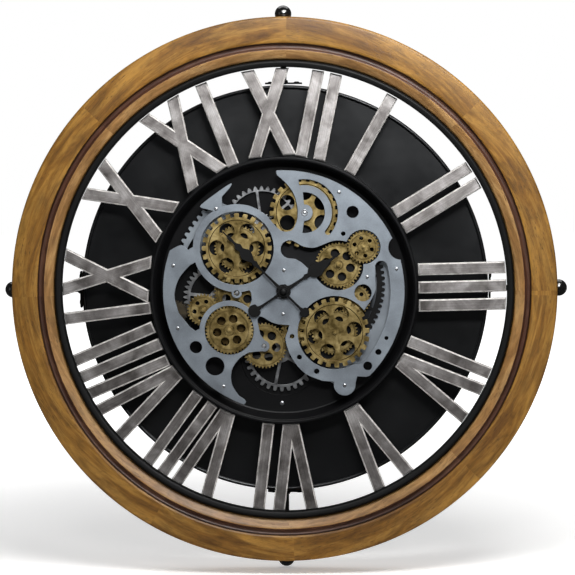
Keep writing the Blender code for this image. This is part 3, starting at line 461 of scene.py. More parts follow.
class Finish:
    """A procedural material. Its methods add nodes and return their output sockets."""

    def __init__(self, name, slot):
        self.material = bpy.data.materials.new(name)
        self.material.use_nodes = True
        self.material["slot"] = slot
        self.tree = self.material.node_tree
        self.shader = self.tree.nodes["Principled BSDF"]
        self.place = self.node("ShaderNodeTexCoord").outputs["Object"]

    def node(self, kind, inputs=None, **settings):
        made = self.tree.nodes.new(kind)
        for key, value in settings.items():
            setattr(made, key, value)
        for key, value in (inputs or {}).items():
            self.feed(made.inputs[key], value)
        return made

    def feed(self, socket, value):
        if isinstance(value, bpy.types.NodeSocket):
            self.tree.links.new(value, socket)
        else:
            socket.default_value = value

    def grain(self):
        return self.node("ShaderNodeAttribute", attribute_name="grain").outputs["Vector"]

    def stretched(self, vector, scale):
        return self.node("ShaderNodeMapping", {"Vector": vector, "Scale": scale}).outputs[0]

    def noise(self, scale, vector=None, detail=4.0, rough=0.55, bend=0.0):
        inputs = {"Scale": scale, "Detail": detail, "Roughness": rough, "Distortion": bend}
        inputs["Vector"] = vector or self.place
        return self.node("ShaderNodeTexNoise", inputs).outputs[0]

    def ramp(self, value, *stops):
        made = self.node("ShaderNodeValToRGB", {"Fac": value})
        colours = made.color_ramp.elements
        while len(colours) < len(stops):
            colours.new(0.5)
        for element, (place, colour) in zip(colours, stops):
            element.position = place
            shade = colour if isinstance(colour, tuple) else (colour,) * 3
            element.color = (*shade, 1.0)
        return made.outputs[0]

    def mix(self, share, a, b, blend="MIX"):
        made = self.node("ShaderNodeMix", data_type="RGBA", blend_type=blend)
        for socket, value in zip((made.inputs[0], made.inputs[6], made.inputs[7]), (share, a, b)):
            self.feed(socket, (*value, 1.0) if isinstance(value, tuple) else value)
        return made.outputs[2]

    def maths(self, operation, a, b=0.0):
        return self.node("ShaderNodeMath", {0: a, 1: b}, operation=operation).outputs[0]

    def bump(self, height, strength, distance):
        inputs = {"Height": height, "Strength": strength, "Distance": distance}
        self.feed(self.shader.inputs["Normal"], self.node("ShaderNodeBump", inputs).outputs[0])

    def finish(self, colour, roughness, metallic, **others):
        inputs = {"Base Color": colour, "Roughness": roughness, "Metallic": metallic}
        inputs.update({key.replace("_", " "): value for key, value in others.items()})
        for key, value in inputs.items():
            shade = (*value, 1.0) if isinstance(value, tuple) else value
            self.feed(self.shader.inputs[key], shade)
        return self.material


def wood_finish(name, tones, knots=True):
    """Oiled mango wood: streaked figure, short dark pores, speckle and a few small knots."""
    made = Finish(name, "mango_wood")
    grain = made.grain()
    wander = made.noise(16.0, grain, 2.0)
    figure = made.noise(1.0, made.stretched(grain, (9.0, 75.0, 75.0)), 6.0, 0.62, 1.1)
    colour = made.ramp(figure, (0.26, tones[0]), (0.46, tones[1]), (0.60, tones[2]), (0.80, tones[1]))
    broad = made.ramp(made.noise(7.0, grain, 2.0), (0.30, 0.66), (0.70, 1.16))
    colour = made.mix(0.75, colour, broad, "MULTIPLY")
    fine = made.noise(1.0, made.stretched(grain, (50.0, 900.0, 900.0)), 3.0, 0.6, 0.2)
    colour = made.mix(0.5, colour, made.ramp(fine, (0.30, 0.62), (0.52, 1.05)), "MULTIPLY")
    pores = made.noise(1.0, made.stretched(grain, (150.0, 1100.0, 1100.0)), 2.0, 0.5)
    patches = made.ramp(wander, (0.42, 0.0), (0.60, 1.0))
    marks = made.maths("MULTIPLY", made.ramp(pores, (0.60, 0.0), (0.68, 1.0)), patches)
    colour = made.mix(made.maths("MULTIPLY", marks, 0.75), colour, (0.055, 0.024, 0.006))
    mottle = made.noise(1.0, made.stretched(grain, (45.0, 130.0, 130.0)), 5.0, 0.7, 0.6)
    colour = made.mix(0.8, colour, made.ramp(mottle, (0.34, 0.62), (0.52, 1.0), (0.72, 1.30)), "MULTIPLY")
    if knots:
        cells = made.node(
            "ShaderNodeTexVoronoi",
            {"Vector": made.stretched(grain, (11.0, 24.0, 24.0)), "Scale": 1.0, "Randomness": 1.0},
        ).outputs["Distance"]
        halo = made.ramp(cells, (0.05, 0.0), (0.10, 1.0), (0.16, 0.35), (0.30, 0.0))
        colour = made.mix(made.maths("MULTIPLY", halo, 0.45), colour, tones[2])
        heart = made.ramp(cells, (0.0, 1.0), (0.055, 0.75), (0.085, 0.0))
        colour = made.mix(made.maths("MULTIPLY", heart, 0.8), colour, (0.07, 0.03, 0.008))
    sheen = made.ramp(fine, (0.3, 0.50), (0.7, 0.36))
    relief = made.maths("SUBTRACT", fine, made.maths("MULTIPLY", marks, 0.8))
    made.bump(relief, 0.22, 0.0004)
    return made.finish(colour, sheen, 0.0, Specular_IOR_Level=0.25)


def metal_finish(name, slot, tones, roughness, metallic, scale=70.0, brushed=None, relief=0.1):
    """Worn metal: mottled tones, uneven polish and fine scratches, brushed along its grain if asked."""
    made = Finish(name, slot)
    mottle = made.noise(scale, None, 5.0, 0.62, 0.4)
    colour = made.ramp(mottle, (0.32, tones[0]), (0.50, tones[1]), (0.68, tones[2]))
    speckle = made.noise(1400.0, None, 2.0, 0.6)
    colour = made.mix(0.35, colour, made.ramp(speckle, (0.3, 0.72), (0.7, 1.18)), "MULTIPLY")
    height = speckle
    if brushed:
        lines = made.noise(1.0, made.stretched(made.grain(), (10.0, brushed, brushed)), 4.0, 0.7)
        colour = made.mix(0.6, colour, made.ramp(lines, (0.33, 0.62), (0.62, 1.25)), "MULTIPLY")
        height = lines
    polish = made.ramp(mottle, (0.3, roughness - 0.07), (0.7, roughness + 0.07))
    made.bump(height, relief, 0.0002)
    return made.finish(colour, polish, metallic)


def painted_finish(name, slot, shade, roughness, level=0.35, coat=0.0):
    """Satin or glossy paint with a slight orange peel and dusty spots."""
    made = Finish(name, slot)
    peel = made.noise(900.0, None, 2.0)
    dust = made.ramp(made.noise(260.0, None, 3.0, 0.7), (0.64, 0.0), (0.74, 1.0))
    pale = tuple(channel * 2.2 + 0.004 for channel in shade)
    haze = made.ramp(made.noise(14.0, None, 4.0, 0.6), (0.3, 0.85), (0.7, 1.25))
    colour = made.mix(made.maths("MULTIPLY", dust, 0.5), shade, pale)
    colour = made.mix(0.8, colour, haze, "MULTIPLY")
    rough = made.ramp(made.noise(22.0, None, 4.0, 0.6), (0.3, roughness - 0.05), (0.7, roughness + 0.05))
    made.bump(peel, 0.06, 0.0002)
    others = {"Specular_IOR_Level": level, "Coat_Weight": coat, "Coat_Roughness": 0.1}
    return made.finish(colour, rough, 0.0, **others)


WOOD_TONES = ((0.092, 0.036, 0.005), (0.195, 0.088, 0.011), (0.310, 0.158, 0.028))
BAND_TONES = ((0.150, 0.068, 0.018), (0.270, 0.138, 0.043), (0.390, 0.225, 0.085))
GROOVE_TONES = ((0.040, 0.014, 0.007), (0.066, 0.024, 0.012), (0.095, 0.040, 0.021))
# Near-black wood tones for the groove's outer wall: painted shade where the step shades the groove
GROOVE_WALL_SHADE_TONES = ((0.012, 0.004, 0.002), (0.022, 0.008, 0.004), (0.036, 0.014, 0.007))
WOOD = wood_finish("oiled_mango_wood", WOOD_TONES)
BAND = wood_finish("inner_band_wood", BAND_TONES, knots=False)
GROOVE = wood_finish("stained_groove", GROOVE_TONES, knots=False)
GROOVE_WALL_SHADE = wood_finish("groove_wall_painted_shade", GROOVE_WALL_SHADE_TONES, knots=False)
PEWTER_TONES = ((0.130, 0.117, 0.111), (0.240, 0.222, 0.213), (0.380, 0.360, 0.350))
PEWTER = metal_finish("brushed_pewter", "pewter", PEWTER_TONES, 0.44, 0.9, 40.0, 1500.0, 0.25)
# Light, mostly diffuse pewter for the numerals' bevels: a painted highlight on their edges
PEWTER_HIGHLIGHT_TONES = ((0.360, 0.345, 0.330), (0.560, 0.540, 0.525), (0.760, 0.740, 0.720))
PEWTER_EDGE_HIGHLIGHT = metal_finish("pewter_edge_painted_highlight", "pewter", PEWTER_HIGHLIGHT_TONES, 0.45, 0.25, 160.0, 900.0, 0.2)
PLATE_TONES = ((0.185, 0.205, 0.230), (0.210, 0.235, 0.262), (0.240, 0.268, 0.296))
SATIN = metal_finish("satin_silver_plate", "satin_silver", PLATE_TONES, 0.50, 0.8, 30.0, None, 0.06)
BRASS_TONES = ((0.120, 0.082, 0.024), (0.270, 0.195, 0.072), (0.430, 0.330, 0.145))
BRASS = metal_finish("aged_brass", "antique_brass", BRASS_TONES, 0.42, 0.9, 95.0, None, 0.12)
# Dark brass for groove slopes and for faces lying behind other parts: painted shade
BRASS_SHADE_TONES = ((0.030, 0.019, 0.006), (0.062, 0.040, 0.013), (0.110, 0.074, 0.027))
BRASS_PAINTED_SHADE = metal_finish("brass_in_shade", "antique_brass", BRASS_SHADE_TONES, 0.42, 0.9, 120.0, None, 0.12)


def painted_shade_mid_plate():
    """The satin plate, painted near-black behind the wheels as painted shade, and bare at its rim."""
    shade_to, bare_from = 0.098, 0.106  # metres from the hub
    made = Finish("mid_plate_painted_shade", "satin_silver")
    flat = made.stretched(made.place, (1.0, 0.0, 1.0))
    reach = made.node("ShaderNodeVectorMath", {0: flat}, operation="LENGTH").outputs["Value"]
    mottle = made.noise(40.0, None, 4.0, 0.6)
    bare = made.ramp(mottle, (0.3, PLATE_TONES[0]), (0.7, PLATE_TONES[2]))
    # Near-black inside the shade radius, silver beyond it: painted shade
    colour = made.mix(made.ramp(reach, (shade_to, 0.0), (bare_from, 1.0)), (0.004, 0.004, 0.005), bare)
    made.bump(made.noise(900.0, None, 2.0), 0.06, 0.0002)
    return made.finish(colour, made.ramp(mottle, (0.3, 0.42), (0.7, 0.52)), 0.6)


MID_PLATE_PAINTED_SHADE = painted_shade_mid_plate()
BLACKENED = ((0.012, 0.009, 0.005), (0.024, 0.018, 0.009), (0.045, 0.033, 0.016))
BRASS_BLACK = metal_finish("brass_blackened", "antique_brass", BLACKENED, 0.5, 0.6, 120.0, None, 0.12)
GREY_TONES = ((0.270, 0.270, 0.280), (0.400, 0.405, 0.415), (0.540, 0.545, 0.550))
GREY = metal_finish("grey_steel_worn", "grey_steel", GREY_TONES, 0.34, 0.95, 90.0, None, 0.1)
BLACK = painted_finish("satin_black_paint", "black_steel", (0.0025, 0.0025, 0.003), 0.46, 0.12)
DRUM_BLACK = painted_finish("rolled_black_sheet", "black_steel", (0.003, 0.0033, 0.004), 0.33, 0.35)
MATT_BLACK = painted_finish("matt_black_paint", "black_steel", (0.002, 0.002, 0.002), 0.50, 0.15)
GLOSS = painted_finish("gloss_black_paint", "gloss_black", (0.004, 0.004, 0.004), 0.16, 0.5, 0.6)
PLASTIC = painted_finish("moulded_black_plastic", "black_plastic", (0.012, 0.012, 0.013), 0.46)
SLOT_FINISHES = {
    "mango_wood": WOOD,
    "black_steel": BLACK,
    "pewter": PEWTER,
    "satin_silver": SATIN,
    "antique_brass": BRASS,
    "grey_steel": GREY,
    "black_plastic": PLASTIC,
    "gloss_black": GLOSS,
}


def repaint_frame():
    """Gives every CAD node the finish of its slot, for those that stay in view."""
    for node in frame["nodes"].values():
        for socket in node.material_slots:
            name = socket.material.name.split(".")[0]
            if name in SLOT_FINISHES:
                socket.material = SLOT_FINISHES[name]


# ---------------------------------------------------------------- fixings


def screw(radius, height=0.9, recess="cross"):
    """A pan-head screw drawn about the origin with its head's underside at depth zero."""
    profile = [(0, 0), (radius, 0), (radius, height * 0.55), (radius * 0.6, height), (0, height)]
    head = turned(knob_profile(profile, 0.25), steps=28)
    arm, half = radius * 0.55, radius * 0.14
    bars = [[(-arm, -half), (arm, -half), (arm, half), (-arm, half)]]
    if recess == "cross":
        bars.append([(-half, -arm), (half, -arm), (half, arm), (-half, arm)])
    return cut(head, *(plate([bar], height * 0.45, height + 1.0, 0.05) for bar in bars))


def screws(places, depth, radius, height=0.9, recess="cross"):
    head = screw(radius, height, recess)
    spots = [placed(head, x, y, depth, 37.0 * n) for n, (x, y) in enumerate(places)]
    return joined(*spots)


def rear_screws(places, depth, radius, height=0.9):
    """Screws with their heads towards the wall."""
    head = transformed(screw(radius, height), Matrix.Rotation(pi, 4, "Z"))
    return joined(*(placed(head, x, y, depth) for x, y in places))


# ---------------------------------------------------------------- case, dial and back


def wood_ring():
    """The ring of eight sawn segments, with a stained groove whose outer wall is painted near-black as painted
    shade, and a sloping inner band.
    """
    inner = HOOP_OUTER + 0.3
    groove_out, groove_in = 271.6, 264.6
    front, low = WOOD_FRONT, WOOD_FRONT - 4.5
    profile = [(inner, WOOD_BACK + 8), (inner + 6, WOOD_BACK), (WOOD_OUTER, WOOD_BACK)]
    profile += [(WOOD_OUTER, WOOD_FRONT), (groove_out, front), (groove_out - 1.2, low)]
    profile += [(groove_in + 1.4, low), (groove_in, front - 1.5), (inner, HOOP_FRONT - 4)]
    soft = eased(profile, 3.0, 4)
    mesh = turned(soft, steps=360)
    # The rods' bores end short of the wood, so they leave the ring whole
    bore_radius, bore_length, bore_start = 3.7, 100, inner - 25
    bores = []
    for angle in (0, 90, 180, 270):
        bore = turned(rod_profile(bore_radius, 0, bore_length), steps=32)
        bore.transform(Matrix.Rotation(radians(90), 4, "X"))
        bore.transform(Matrix.Translation((0, -ROD_DEPTH * MM, bore_start * MM)))
        bore.transform(Matrix.Rotation(radians(90 - angle), 4, "Y"))
        bores.append(bore)
    mesh = cut(mesh, *bores)

    lay_ring_grain(mesh)
    wall = WOOD_FRONT - 2.0

    def finish(radius, depth, facing):
        if depth < wall - 6 and radius < groove_out:
            return 0
        # The groove's outer wall takes the near-black wood: painted shade
        if radius > groove_out - 1.6:
            return 3 if radius < groove_out and facing > 0.0 else 0
        if radius > groove_in - 0.3:
            return 2
        return 1 if depth > HOOP_FRONT - 6 else 0

    paint(mesh, finish)
    finishes = [WOOD, BAND, GROOVE, GROOVE_WALL_SHADE]
    piece("wood_ring_shape", mesh, finishes, stands_for=["wood_ring"], crease=50)


def dial_hoop():
    profile = [(HOOP_INNER, HOOP_BACK), (HOOP_OUTER, HOOP_BACK), (HOOP_OUTER, HOOP_FRONT - 2)]
    profile += [(HOOP_OUTER - 2, HOOP_FRONT), (HOOP_INNER, HOOP_FRONT - 1)]
    mesh = turned(eased(profile, 1.0, 3), steps=256)
    piece("dial_hoop_shape", mesh, [MATT_BLACK], stands_for=["dial_hoop"], crease=50)


def gear_dish():
    """The pan behind the gears, with a rolled rim and a pressed circle under the bottom wheel."""
    floor, front = DISH_FLOOR, DISH_FLOOR + 1.2
    wall = DISH_RIM - 1.6
    pressed = 45.6
    profile = [(0.0, floor), (138.0, floor), (144.6, floor + 14.0), (wall, floor + 14.0)]
    profile += [(wall, DISH_SKIRT), (DISH_RIM, DISH_SKIRT), (DISH_RIM, floor + 15.4)]
    bead = arc((DISH_RIM - 2.0, floor + 15.2), 2.0, 0, 180, 20)
    profile += [(radius, min(depth, DISH_BEAD)) for radius, depth in bead]
    profile += [(142.6, floor + 14.4), (137.2, front + 0.6), (135.8, front), (0.0, front)]
    mesh = turned(knob_profile(profile, 0.5, 2), steps=256)
    holes = [(HUB, 5.0), (PLACES["drive_shaft"], 3.0)]
    holes += [(PLACES[name], 2.4) for name in ("silver_top", "silver_left", "silver_bottom")]
    cutters = [plate([circle(centre, radius)], floor - 5, front + 5) for centre, radius in holes]
    ring = [(pressed, front - 0.3), (pressed + 0.7, front + 0.35), (pressed + 1.4, front - 0.3)]
    rings = turned(ring, PLACES["silver_bottom"], steps=160)
    mesh = union(cut(mesh, *cutters), rings)
    piece("gear_dish_shape", mesh, [BLACK], stands_for=["gear_dish"], crease=40)
    head = screws([(-3.1, -126.2)], front, 2.3)
    piece("dish_screw", head, [GREY])


def back_drum():
    inner, front = DRUM_RADIUS - 1.5, DRUM_FACE
    back = DRUM_FACE - 1.2
    opening = 45.0
    profile = [(opening, back), (inner, back), (inner, DRUM_BACK), (DRUM_RADIUS, DRUM_BACK)]
    profile += [(DRUM_RADIUS, front + 0.7)]
    profile += arc((DRUM_RADIUS - 2.1, front + 0.7), 2.1, 0, 180, 15)[1:-1]
    profile += [(DRUM_RADIUS - 4.2, front), (opening, front)]
    mesh = turned(profile, steps=256)
    hole = plate([circle(PLACES["drive_shaft"], 3.0)], back - 4, front + 4)
    mesh = cut(mesh, hole)
    piece("back_drum_shape", mesh, [DRUM_BLACK], stands_for=["back_drum"], crease=40)


def hanger_strap():
    back, front = layer("hanger_strap")
    reach = DRUM_RADIUS - 0.5
    outline = rounded_box((-15, -reach), (15, reach), 3.0)
    keyhole = arc((0, 150.0), 5.0, 120, 420, 10.0) + arc((0, 164.0), 2.5, 0, 180, 15.0)
    mesh = plate([outline, keyhole], back, front, 0.4)
    piece("hanger_strap_shape", mesh, [GREY], stands_for=["hanger_strap"])
    places = [(0, y) for y in (-205, -188, 188, 205)]
    piece("strap_screws", rear_screws(places, front, 3.4, 1.6), [GREY])


def along_spoke(mesh, angle):
    """Turns a piece drawn on the depth axis to lie on the spoke opposite this angle, at the rods' depth."""
    lay = Matrix.Rotation(radians(90), 4, "X")
    return transformed(
        transformed(mesh, lay),
        Matrix.Translation((0, -ROD_DEPTH * MM, 0)) @ Matrix.Rotation(radians(90 - angle), 4, "Y"),
    )


def support_rods():
    radius, wall = 3.3, DRUM_RADIUS + 0.3
    rod = rod_profile(radius, wall + 0.5, WOOD_OUTER - 0.1)
    collar = [(radius - 0.3, wall + 2.3), (radius + 2.0, wall + 2.3), (radius + 1.2, wall + 5.0)]
    collar += [(radius - 0.3, wall + 5.6)]
    head_height = 1.2
    ball_middle, ball = WOOD_OUTER + 4.9, 9.2
    for name, angle in (("right", 0), ("top", 90), ("left", 180), ("bottom", 270)):
        bar = turned(knob_profile(rod, 0.4), steps=32)
        neck = turned(collar, steps=40)
        flange = plate([rounded_box((-20.5, -6.0), (20.5, 6.0), 3.0)], wall + 0.8, wall + 2.6, 0.4)
        heads = screws([(-14.5, 0.0), (14.5, 0.0)], wall + 2.5, 3.0, head_height)
        mesh = along_spoke(union(union(bar, neck), flange), angle)
        piece(f"rod_{name}_shape", mesh, [BLACK], stands_for=[f"support_rod_{name}"])
        piece(f"flange_screws_{name}", along_spoke(heads, angle), [BLACK])
        flat = WOOD_OUTER + 0.3
        start = degrees(atan2(flat - ball_middle, (ball**2 - (flat - ball_middle) ** 2) ** 0.5))
        sphere = [(0, flat)] + arc((0, ball_middle), ball, start, 90, 5.0)[:-1] + [(0, ball_middle + ball)]
        finial = turned(sphere, steps=64)
        piece(f"finial_{name}_ball", along_spoke(finial, angle), [GLOSS], stands_for=[f"finial_{name}"])


def stroke(start, end, width=BAR_WIDTH):
    """The corners and the line of a straight bar whose ends are square to the spoke it stands on."""
    lean = (end[0] - start[0]) / (end[1] - start[1])
    half = width / 2 * hypot(1, lean)
    near = [(start[0] - half, start[1]), (start[0] + half, start[1])]
    return [*near, (end[0] + half, end[1]), (end[0] - half, end[1])]


def strokes_of(letters):
    """The bars of one group, in a frame whose up axis runs from the hub out along the group."""
    inner, outer = BAR_INNER, BAR_OUTER
    if letters == "V":
        return [stroke((-2.5, inner), (-V_SPREAD, outer)), stroke((2.5, inner), (V_SPREAD, outer))]
    if letters == "X":
        sides = (-X_SPREAD, X_SPREAD)
        return [stroke((side, inner), (-side, outer)) for side in sides]
    first = -(len(letters) - 1) / 2
    places = [(first + n) * BAR_PITCH for n in range(len(letters))]
    return [stroke((x, inner), (x, outer)) for x in places]


def shortened(bar):
    """A bar with its outer corners drawn in to the hoop."""
    middle = (BAR_INNER + BAR_OUTER) / 2
    return [(x, y - max(0.0, hypot(x, y) - BAR_OUTER) if y > middle else y) for x, y in bar]


def numeral(hour, groups):
    """Bevelled bars of brushed pewter, each fixed at its ends."""
    bars, lines = [], []
    for letters, offset in groups:
        angle = -(hour * 30.0 + offset)
        for bar in strokes_of(letters):
            placed_bar = [turned_point(point, angle) for point in shortened(bar)]
            bars.append(placed_bar)
            start = [(placed_bar[0][k] + placed_bar[1][k]) / 2 for k in (0, 1)]
            end = [(placed_bar[2][k] + placed_bar[3][k]) / 2 for k in (0, 1)]
            heading = degrees(atan2(end[1] - start[1], end[0] - start[0]))
            lines.append((tuple(start), heading, 0.37 * len(lines) + 1.9 * hour))
    shapes = [plate([bar], BAR_BACK, BAR_FRONT, BAR_BEVEL) for bar in bars]
    mesh = union(shapes[0], *shapes[1:])

    def nearest(middle):
        def away(line):
            (x, y), heading, _ = line
            c, s = cos(radians(heading)), sin(radians(heading))
            return abs((middle[1] - y) * c - (middle[0] - x) * s)

        return min(lines, key=away)

    lay_grain(mesh, nearest)

    def finish(radius, depth, facing):
        # Bevel faces take the lighter pewter: painted highlight
        if depth > BAR_BACK + 1.5 and 0.2 < facing < 0.98:
            return 1
        return 0 if facing > 0.5 else 2

    paint(mesh, finish)
    node = f"numeral_{hour:02d}"
    piece(f"{node}_bars", mesh, [PEWTER, PEWTER_EDGE_HIGHLIGHT, MATT_BLACK], stands_for=[node], crease=20)


# ---------------------------------------------------------------- plates


def plate_outline():
    """The front plate's outside, clockwise from the tip of the top horn."""
    notch, lobe = (129.0, 47.9), (66.8, -103.4)
    edge = [(-7.4, 130.6)]
    edge += arc(HUB, PLATE_EDGE, 93, 26.2, 2)
    edge += arc(notch, 13.7, 132, 268, 6)
    edge += arc(HUB, PLATE_EDGE, 15, -44.8, 2)
    edge += [(90.6, -94.9), (80.7, -94.3)]
    edge += arc(lobe, 12.1, 8, -195, 8)
    edge += smooth([(42.3, -99.3), (22.5, -90.5), (8.2, -72.9), (1.8, -54.2), (4.0, -44.5)])
    edge += [(6.0, -37.4)]
    edge += smooth([(-5.4, -36.6), (-13.8, -34.0), (-22.2, -29.0), (-26.6, -27.6)])
    edge += [(-29.1, -31.2), (-27.5, -40.0), (-25.8, -47.7)]
    edge += arc(BOTTOM, 6.2, 80, -110, 12)
    edge += smooth([(-37.9, -67.4), (-48.9, -74.0), (-57.6, -87.2), (-57.6, -102.6), (-50.0, -115.7)])
    edge += smooth([(-43.9, -119.6), (-42.3, -122.6), (-44.6, -125.4)])
    edge += arc(HUB, PLATE_EDGE, -111, -200, 2)
    edge += smooth([(-118.0, 49.5), (-111.4, 51.2), (-104.6, 46.2)])
    edge += arc(UPPER_LEFT, RING_EDGE, 178, 122)
    edge += smooth([(-88.4, 91.8), (-89.5, 96.2), (-59.8, 117.6), (-57.1, 115.6), (-67.0, 104.2)], 3)
    edge += arc(UPPER_LEFT, RING_EDGE, 109, 55)
    horn = [(-17.0, 82.6), (-9.3, 73.1), (-0.5, 66.0), (10.4, 68.2), (15.9, 83.0), (13.7, 101.7)]
    edge += smooth([*horn, (6.0, 115.9), (-7.9, 129.0)])
    return edge[:-1]


def left_window():
    """The opening between the two ring frames, out to the crescent at the left."""
    near, far = crossing(UPPER_LEFT, RING_EDGE, BOSS, BOSS_RADIUS)
    boss_far, boss_near = crossing(BOSS, BOSS_RADIUS, UPPER_LEFT, RING_EDGE)
    window = [(-35.1, -9.2), (-35.8, -1.4)]
    window += arc(UPPER_LEFT, RING_EDGE, -74, far - 0.4)
    window += arc(BOSS, BOSS_RADIUS, boss_far + 360.0 - 4, boss_near + 4, 10)[1:-1]
    window += arc(UPPER_LEFT, RING_EDGE, near + 0.4, -161.5)
    window += smooth([(-102.7, 29.2), (-114.7, 14.9), (-120.2, -3.7), (-115.8, -23.5)])
    window += [(-103.8, -38.9), (-97.6, -43.5)]
    window += arc(LOWER_LEFT, SMALL_RING_EDGE, 177, 48)
    return window


def right_windows():
    """The joined openings of the two upper right wheels, and of the lower right wheel."""
    rim, rim_small = 27.4, 18.8
    low, high = crossing(UPPER_RIGHT, rim, RIGHT_FRONT, rim_small)
    small_low, small_high = crossing(RIGHT_FRONT, rim_small, UPPER_RIGHT, rim)
    upper = arc(RIGHT_FRONT, rim_small, small_high, small_low + 360.0)
    upper += arc(UPPER_RIGHT, rim, high, 112)[1:]
    upper += smooth([(41.2, 50.1), (34.6, 47.9), (28.0, 47.9), (21.4, 49.5), (14.8, 53.2)])
    upper += arc((7.1, 46.2), 9.9, 60, 262, 8)
    upper += smooth([(12.6, 35.8), (20.3, 31.4), (28.6, 23.7)])
    upper += arc(UPPER_RIGHT, rim, 205, low + 360.0)[:-1]
    lower = arc(LOWER_RIGHT, RING_WINDOW, 37, 299)
    lower += arc(HUB, 117.3, -43, 12, 3)
    lower += arc((107.4, 26.6), 6.6, 20, 172, 10)
    lower += smooth([(101.4, 1.8), (99.4, -3.7), (96.1, -10.3)])
    return [upper, lower]


def top_windows():
    """The two curved openings in front of the top wheel."""
    slot = arc(TOP, 36.6, 100, -38) + arc(polar(33.4, -40, TOP), 3.2, -60, -200, 15)
    slot += arc(TOP, 30.2, -38, 100)
    half = arc(TOP, 22.3, 94, -96) + arc(TOP, 9.1, -92, 92, 8)
    return [slot, half]


def front_plate():
    round_holes = (
        (HUB, 6.0),
        (BOSS, 3.0),
        (BOTTOM, 2.4),
        ((87.3, -2.1), 9.4),
        ((76.3, 86.9), 6.6),
        ((-97.2, -61.6), 6.8),
        ((-76.3, -82.8), 10.4),
        ((17.0, -72.9), 2.7),
        ((36.0, -88.6), 2.9),
        ((92.2, -82.8), 4.8),
        ((104.0, -67.4), 3.3),
        ((112.9, -52.0), 2.2),
        ((65.9, 63.2), 2.4),
        ((9.0, -49.8), 2.5),
    )
    windows = [circle(UPPER_LEFT, RING_WINDOW, 120), circle(LOWER_LEFT, SMALL_RING_WINDOW, 90)]
    windows += [left_window(), *right_windows(), *top_windows()]
    windows += [circle(centre, radius) for centre, radius in round_holes]
    mesh = plate([plate_outline(), *windows], *PLATE, 0.22)
    piece("front_plate_shape", mesh, [SATIN], stands_for=["front_plate"])
    places = [(-121.3, 28.7), (-73.6, 91.2), (-116.9, -40.5), (-67.0, -105.3), (61.5, 108.8)]
    places += [(124.1, 24.3), (92.0, 15.5), (0.5, 23.2), (-0.5, -25.1), (66.8, -104.2)]
    piece("plate_screws", screws(places, PLATE[1], 1.9, 0.8, "slot"), [GREY])
    face, proud = PLATE[1], PLATE[1] + 0.5
    cap = knob_profile([(0, 0), (1.9, 0), (1.7, 0.7), (0, 1.1)], 0.2)
    rivet = placed(turned(cap, steps=24), *TOP, face - 0.6)
    collar = turned(eased([(2.2, face), (3.6, face), (3.4, proud), (2.4, proud)], 0.1), TOP)
    piece("top_boss_rivet", joined(rivet, collar), [GREY])


def mid_plate():
    """The plate that carries the arbors, with a toothed edge at the upper left."""
    left_small, silver_top = PLACES["left_small"], PLACES["silver_top"]
    edge = arc(HUB, 119.0, -52, 44)
    edge += [(60.0, 72.0)] + arc(TOP, 8.0, 30, 210, 15) + [(4.0, 60.0)]
    edge += arc(silver_top, 8.0, 10, 120, 15) + [(-52.0, 90.0), (-72.0, 99.0)]
    edge += toothed(101, 126.0, 122.0, 0.0, 0.3, 0.3, 133, 155)
    edge += [(-112.0, 46.0), (-100.0, 36.5), (-88.0, 26.0), (-66.0, 6.0)]
    edge += [(-58.0, -6.0), (-66.0, -30.0)]
    edge += arc(left_small, 6.0, 100, 280, 15) + arc(LOWER_LEFT, 8.0, 220, 300, 15)
    edge += arc(BOTTOM, 6.0, 190, 360, 15)
    edge += [(-2.0, -38.0), (12.0, -66.0), (30.0, -88.0), (58.0, -106.0)]
    plain = ("silver_left", "silver_bottom", "drive_shaft", "minute_hand", "hour_hand", "set_knob")
    arbors = [place for name, place in PLACES.items() if name not in (*plain, "drive_switch")]
    holes = [circle(centre, 2.4, 20) for centre in arbors] + [circle(HUB, 5.0)]
    holes.append([(-99.9, 58.3), (-108.7, 43.5), (-100.5, 41.6)])
    mesh = plate([edge, *holes], *MID_PLATE)
    post = rod_profile(3.0, DISH_FLOOR + 1.5, MID_PLATE[0] + 0.5)
    for place in ((92.0, 15.5), (-73.6, 91.2), (-0.5, -25.1)):
        mesh = union(mesh, turned(post, place, 32))
    piece("mid_plate_shape", mesh, [MID_PLATE_PAINTED_SHADE], stands_for=["mid_plate"])


def toothed_sector():
    centre = (23.8, 7.2)
    teeth = (86, 88.0, 84.5, 0.0, 0.34, 0.25)
    rim = toothed(*teeth, 300, 360) + toothed(*teeth, 0, 34)
    inner = arc(HUB, 79.0, 34, 7.5) + arc(HUB, 64.0, 9.0, 4.0)
    inner += arc(HUB, 79.0, 5.5, -19.7) + arc(HUB, 64.0, -18.2, -23.2) + arc(HUB, 79.0, -21.7, -60)
    mesh = plate([moved(rim + inner, centre)], *SECTOR)
    piece("toothed_sector_shape", mesh, [MATT_BLACK], stands_for=["toothed_sector"])


# ---------------------------------------------------------------- wheels


def meshing_phase(centre, teeth, phase, other, other_teeth):
    """The phase that puts the second wheel's valleys over the first wheel's teeth."""
    bearing = degrees(atan2(other[1] - centre[1], other[0] - centre[0]))
    offset = (bearing - phase) * teeth / 360.0
    return bearing + 180.0 - (0.5 - offset) * 360.0 / other_teeth


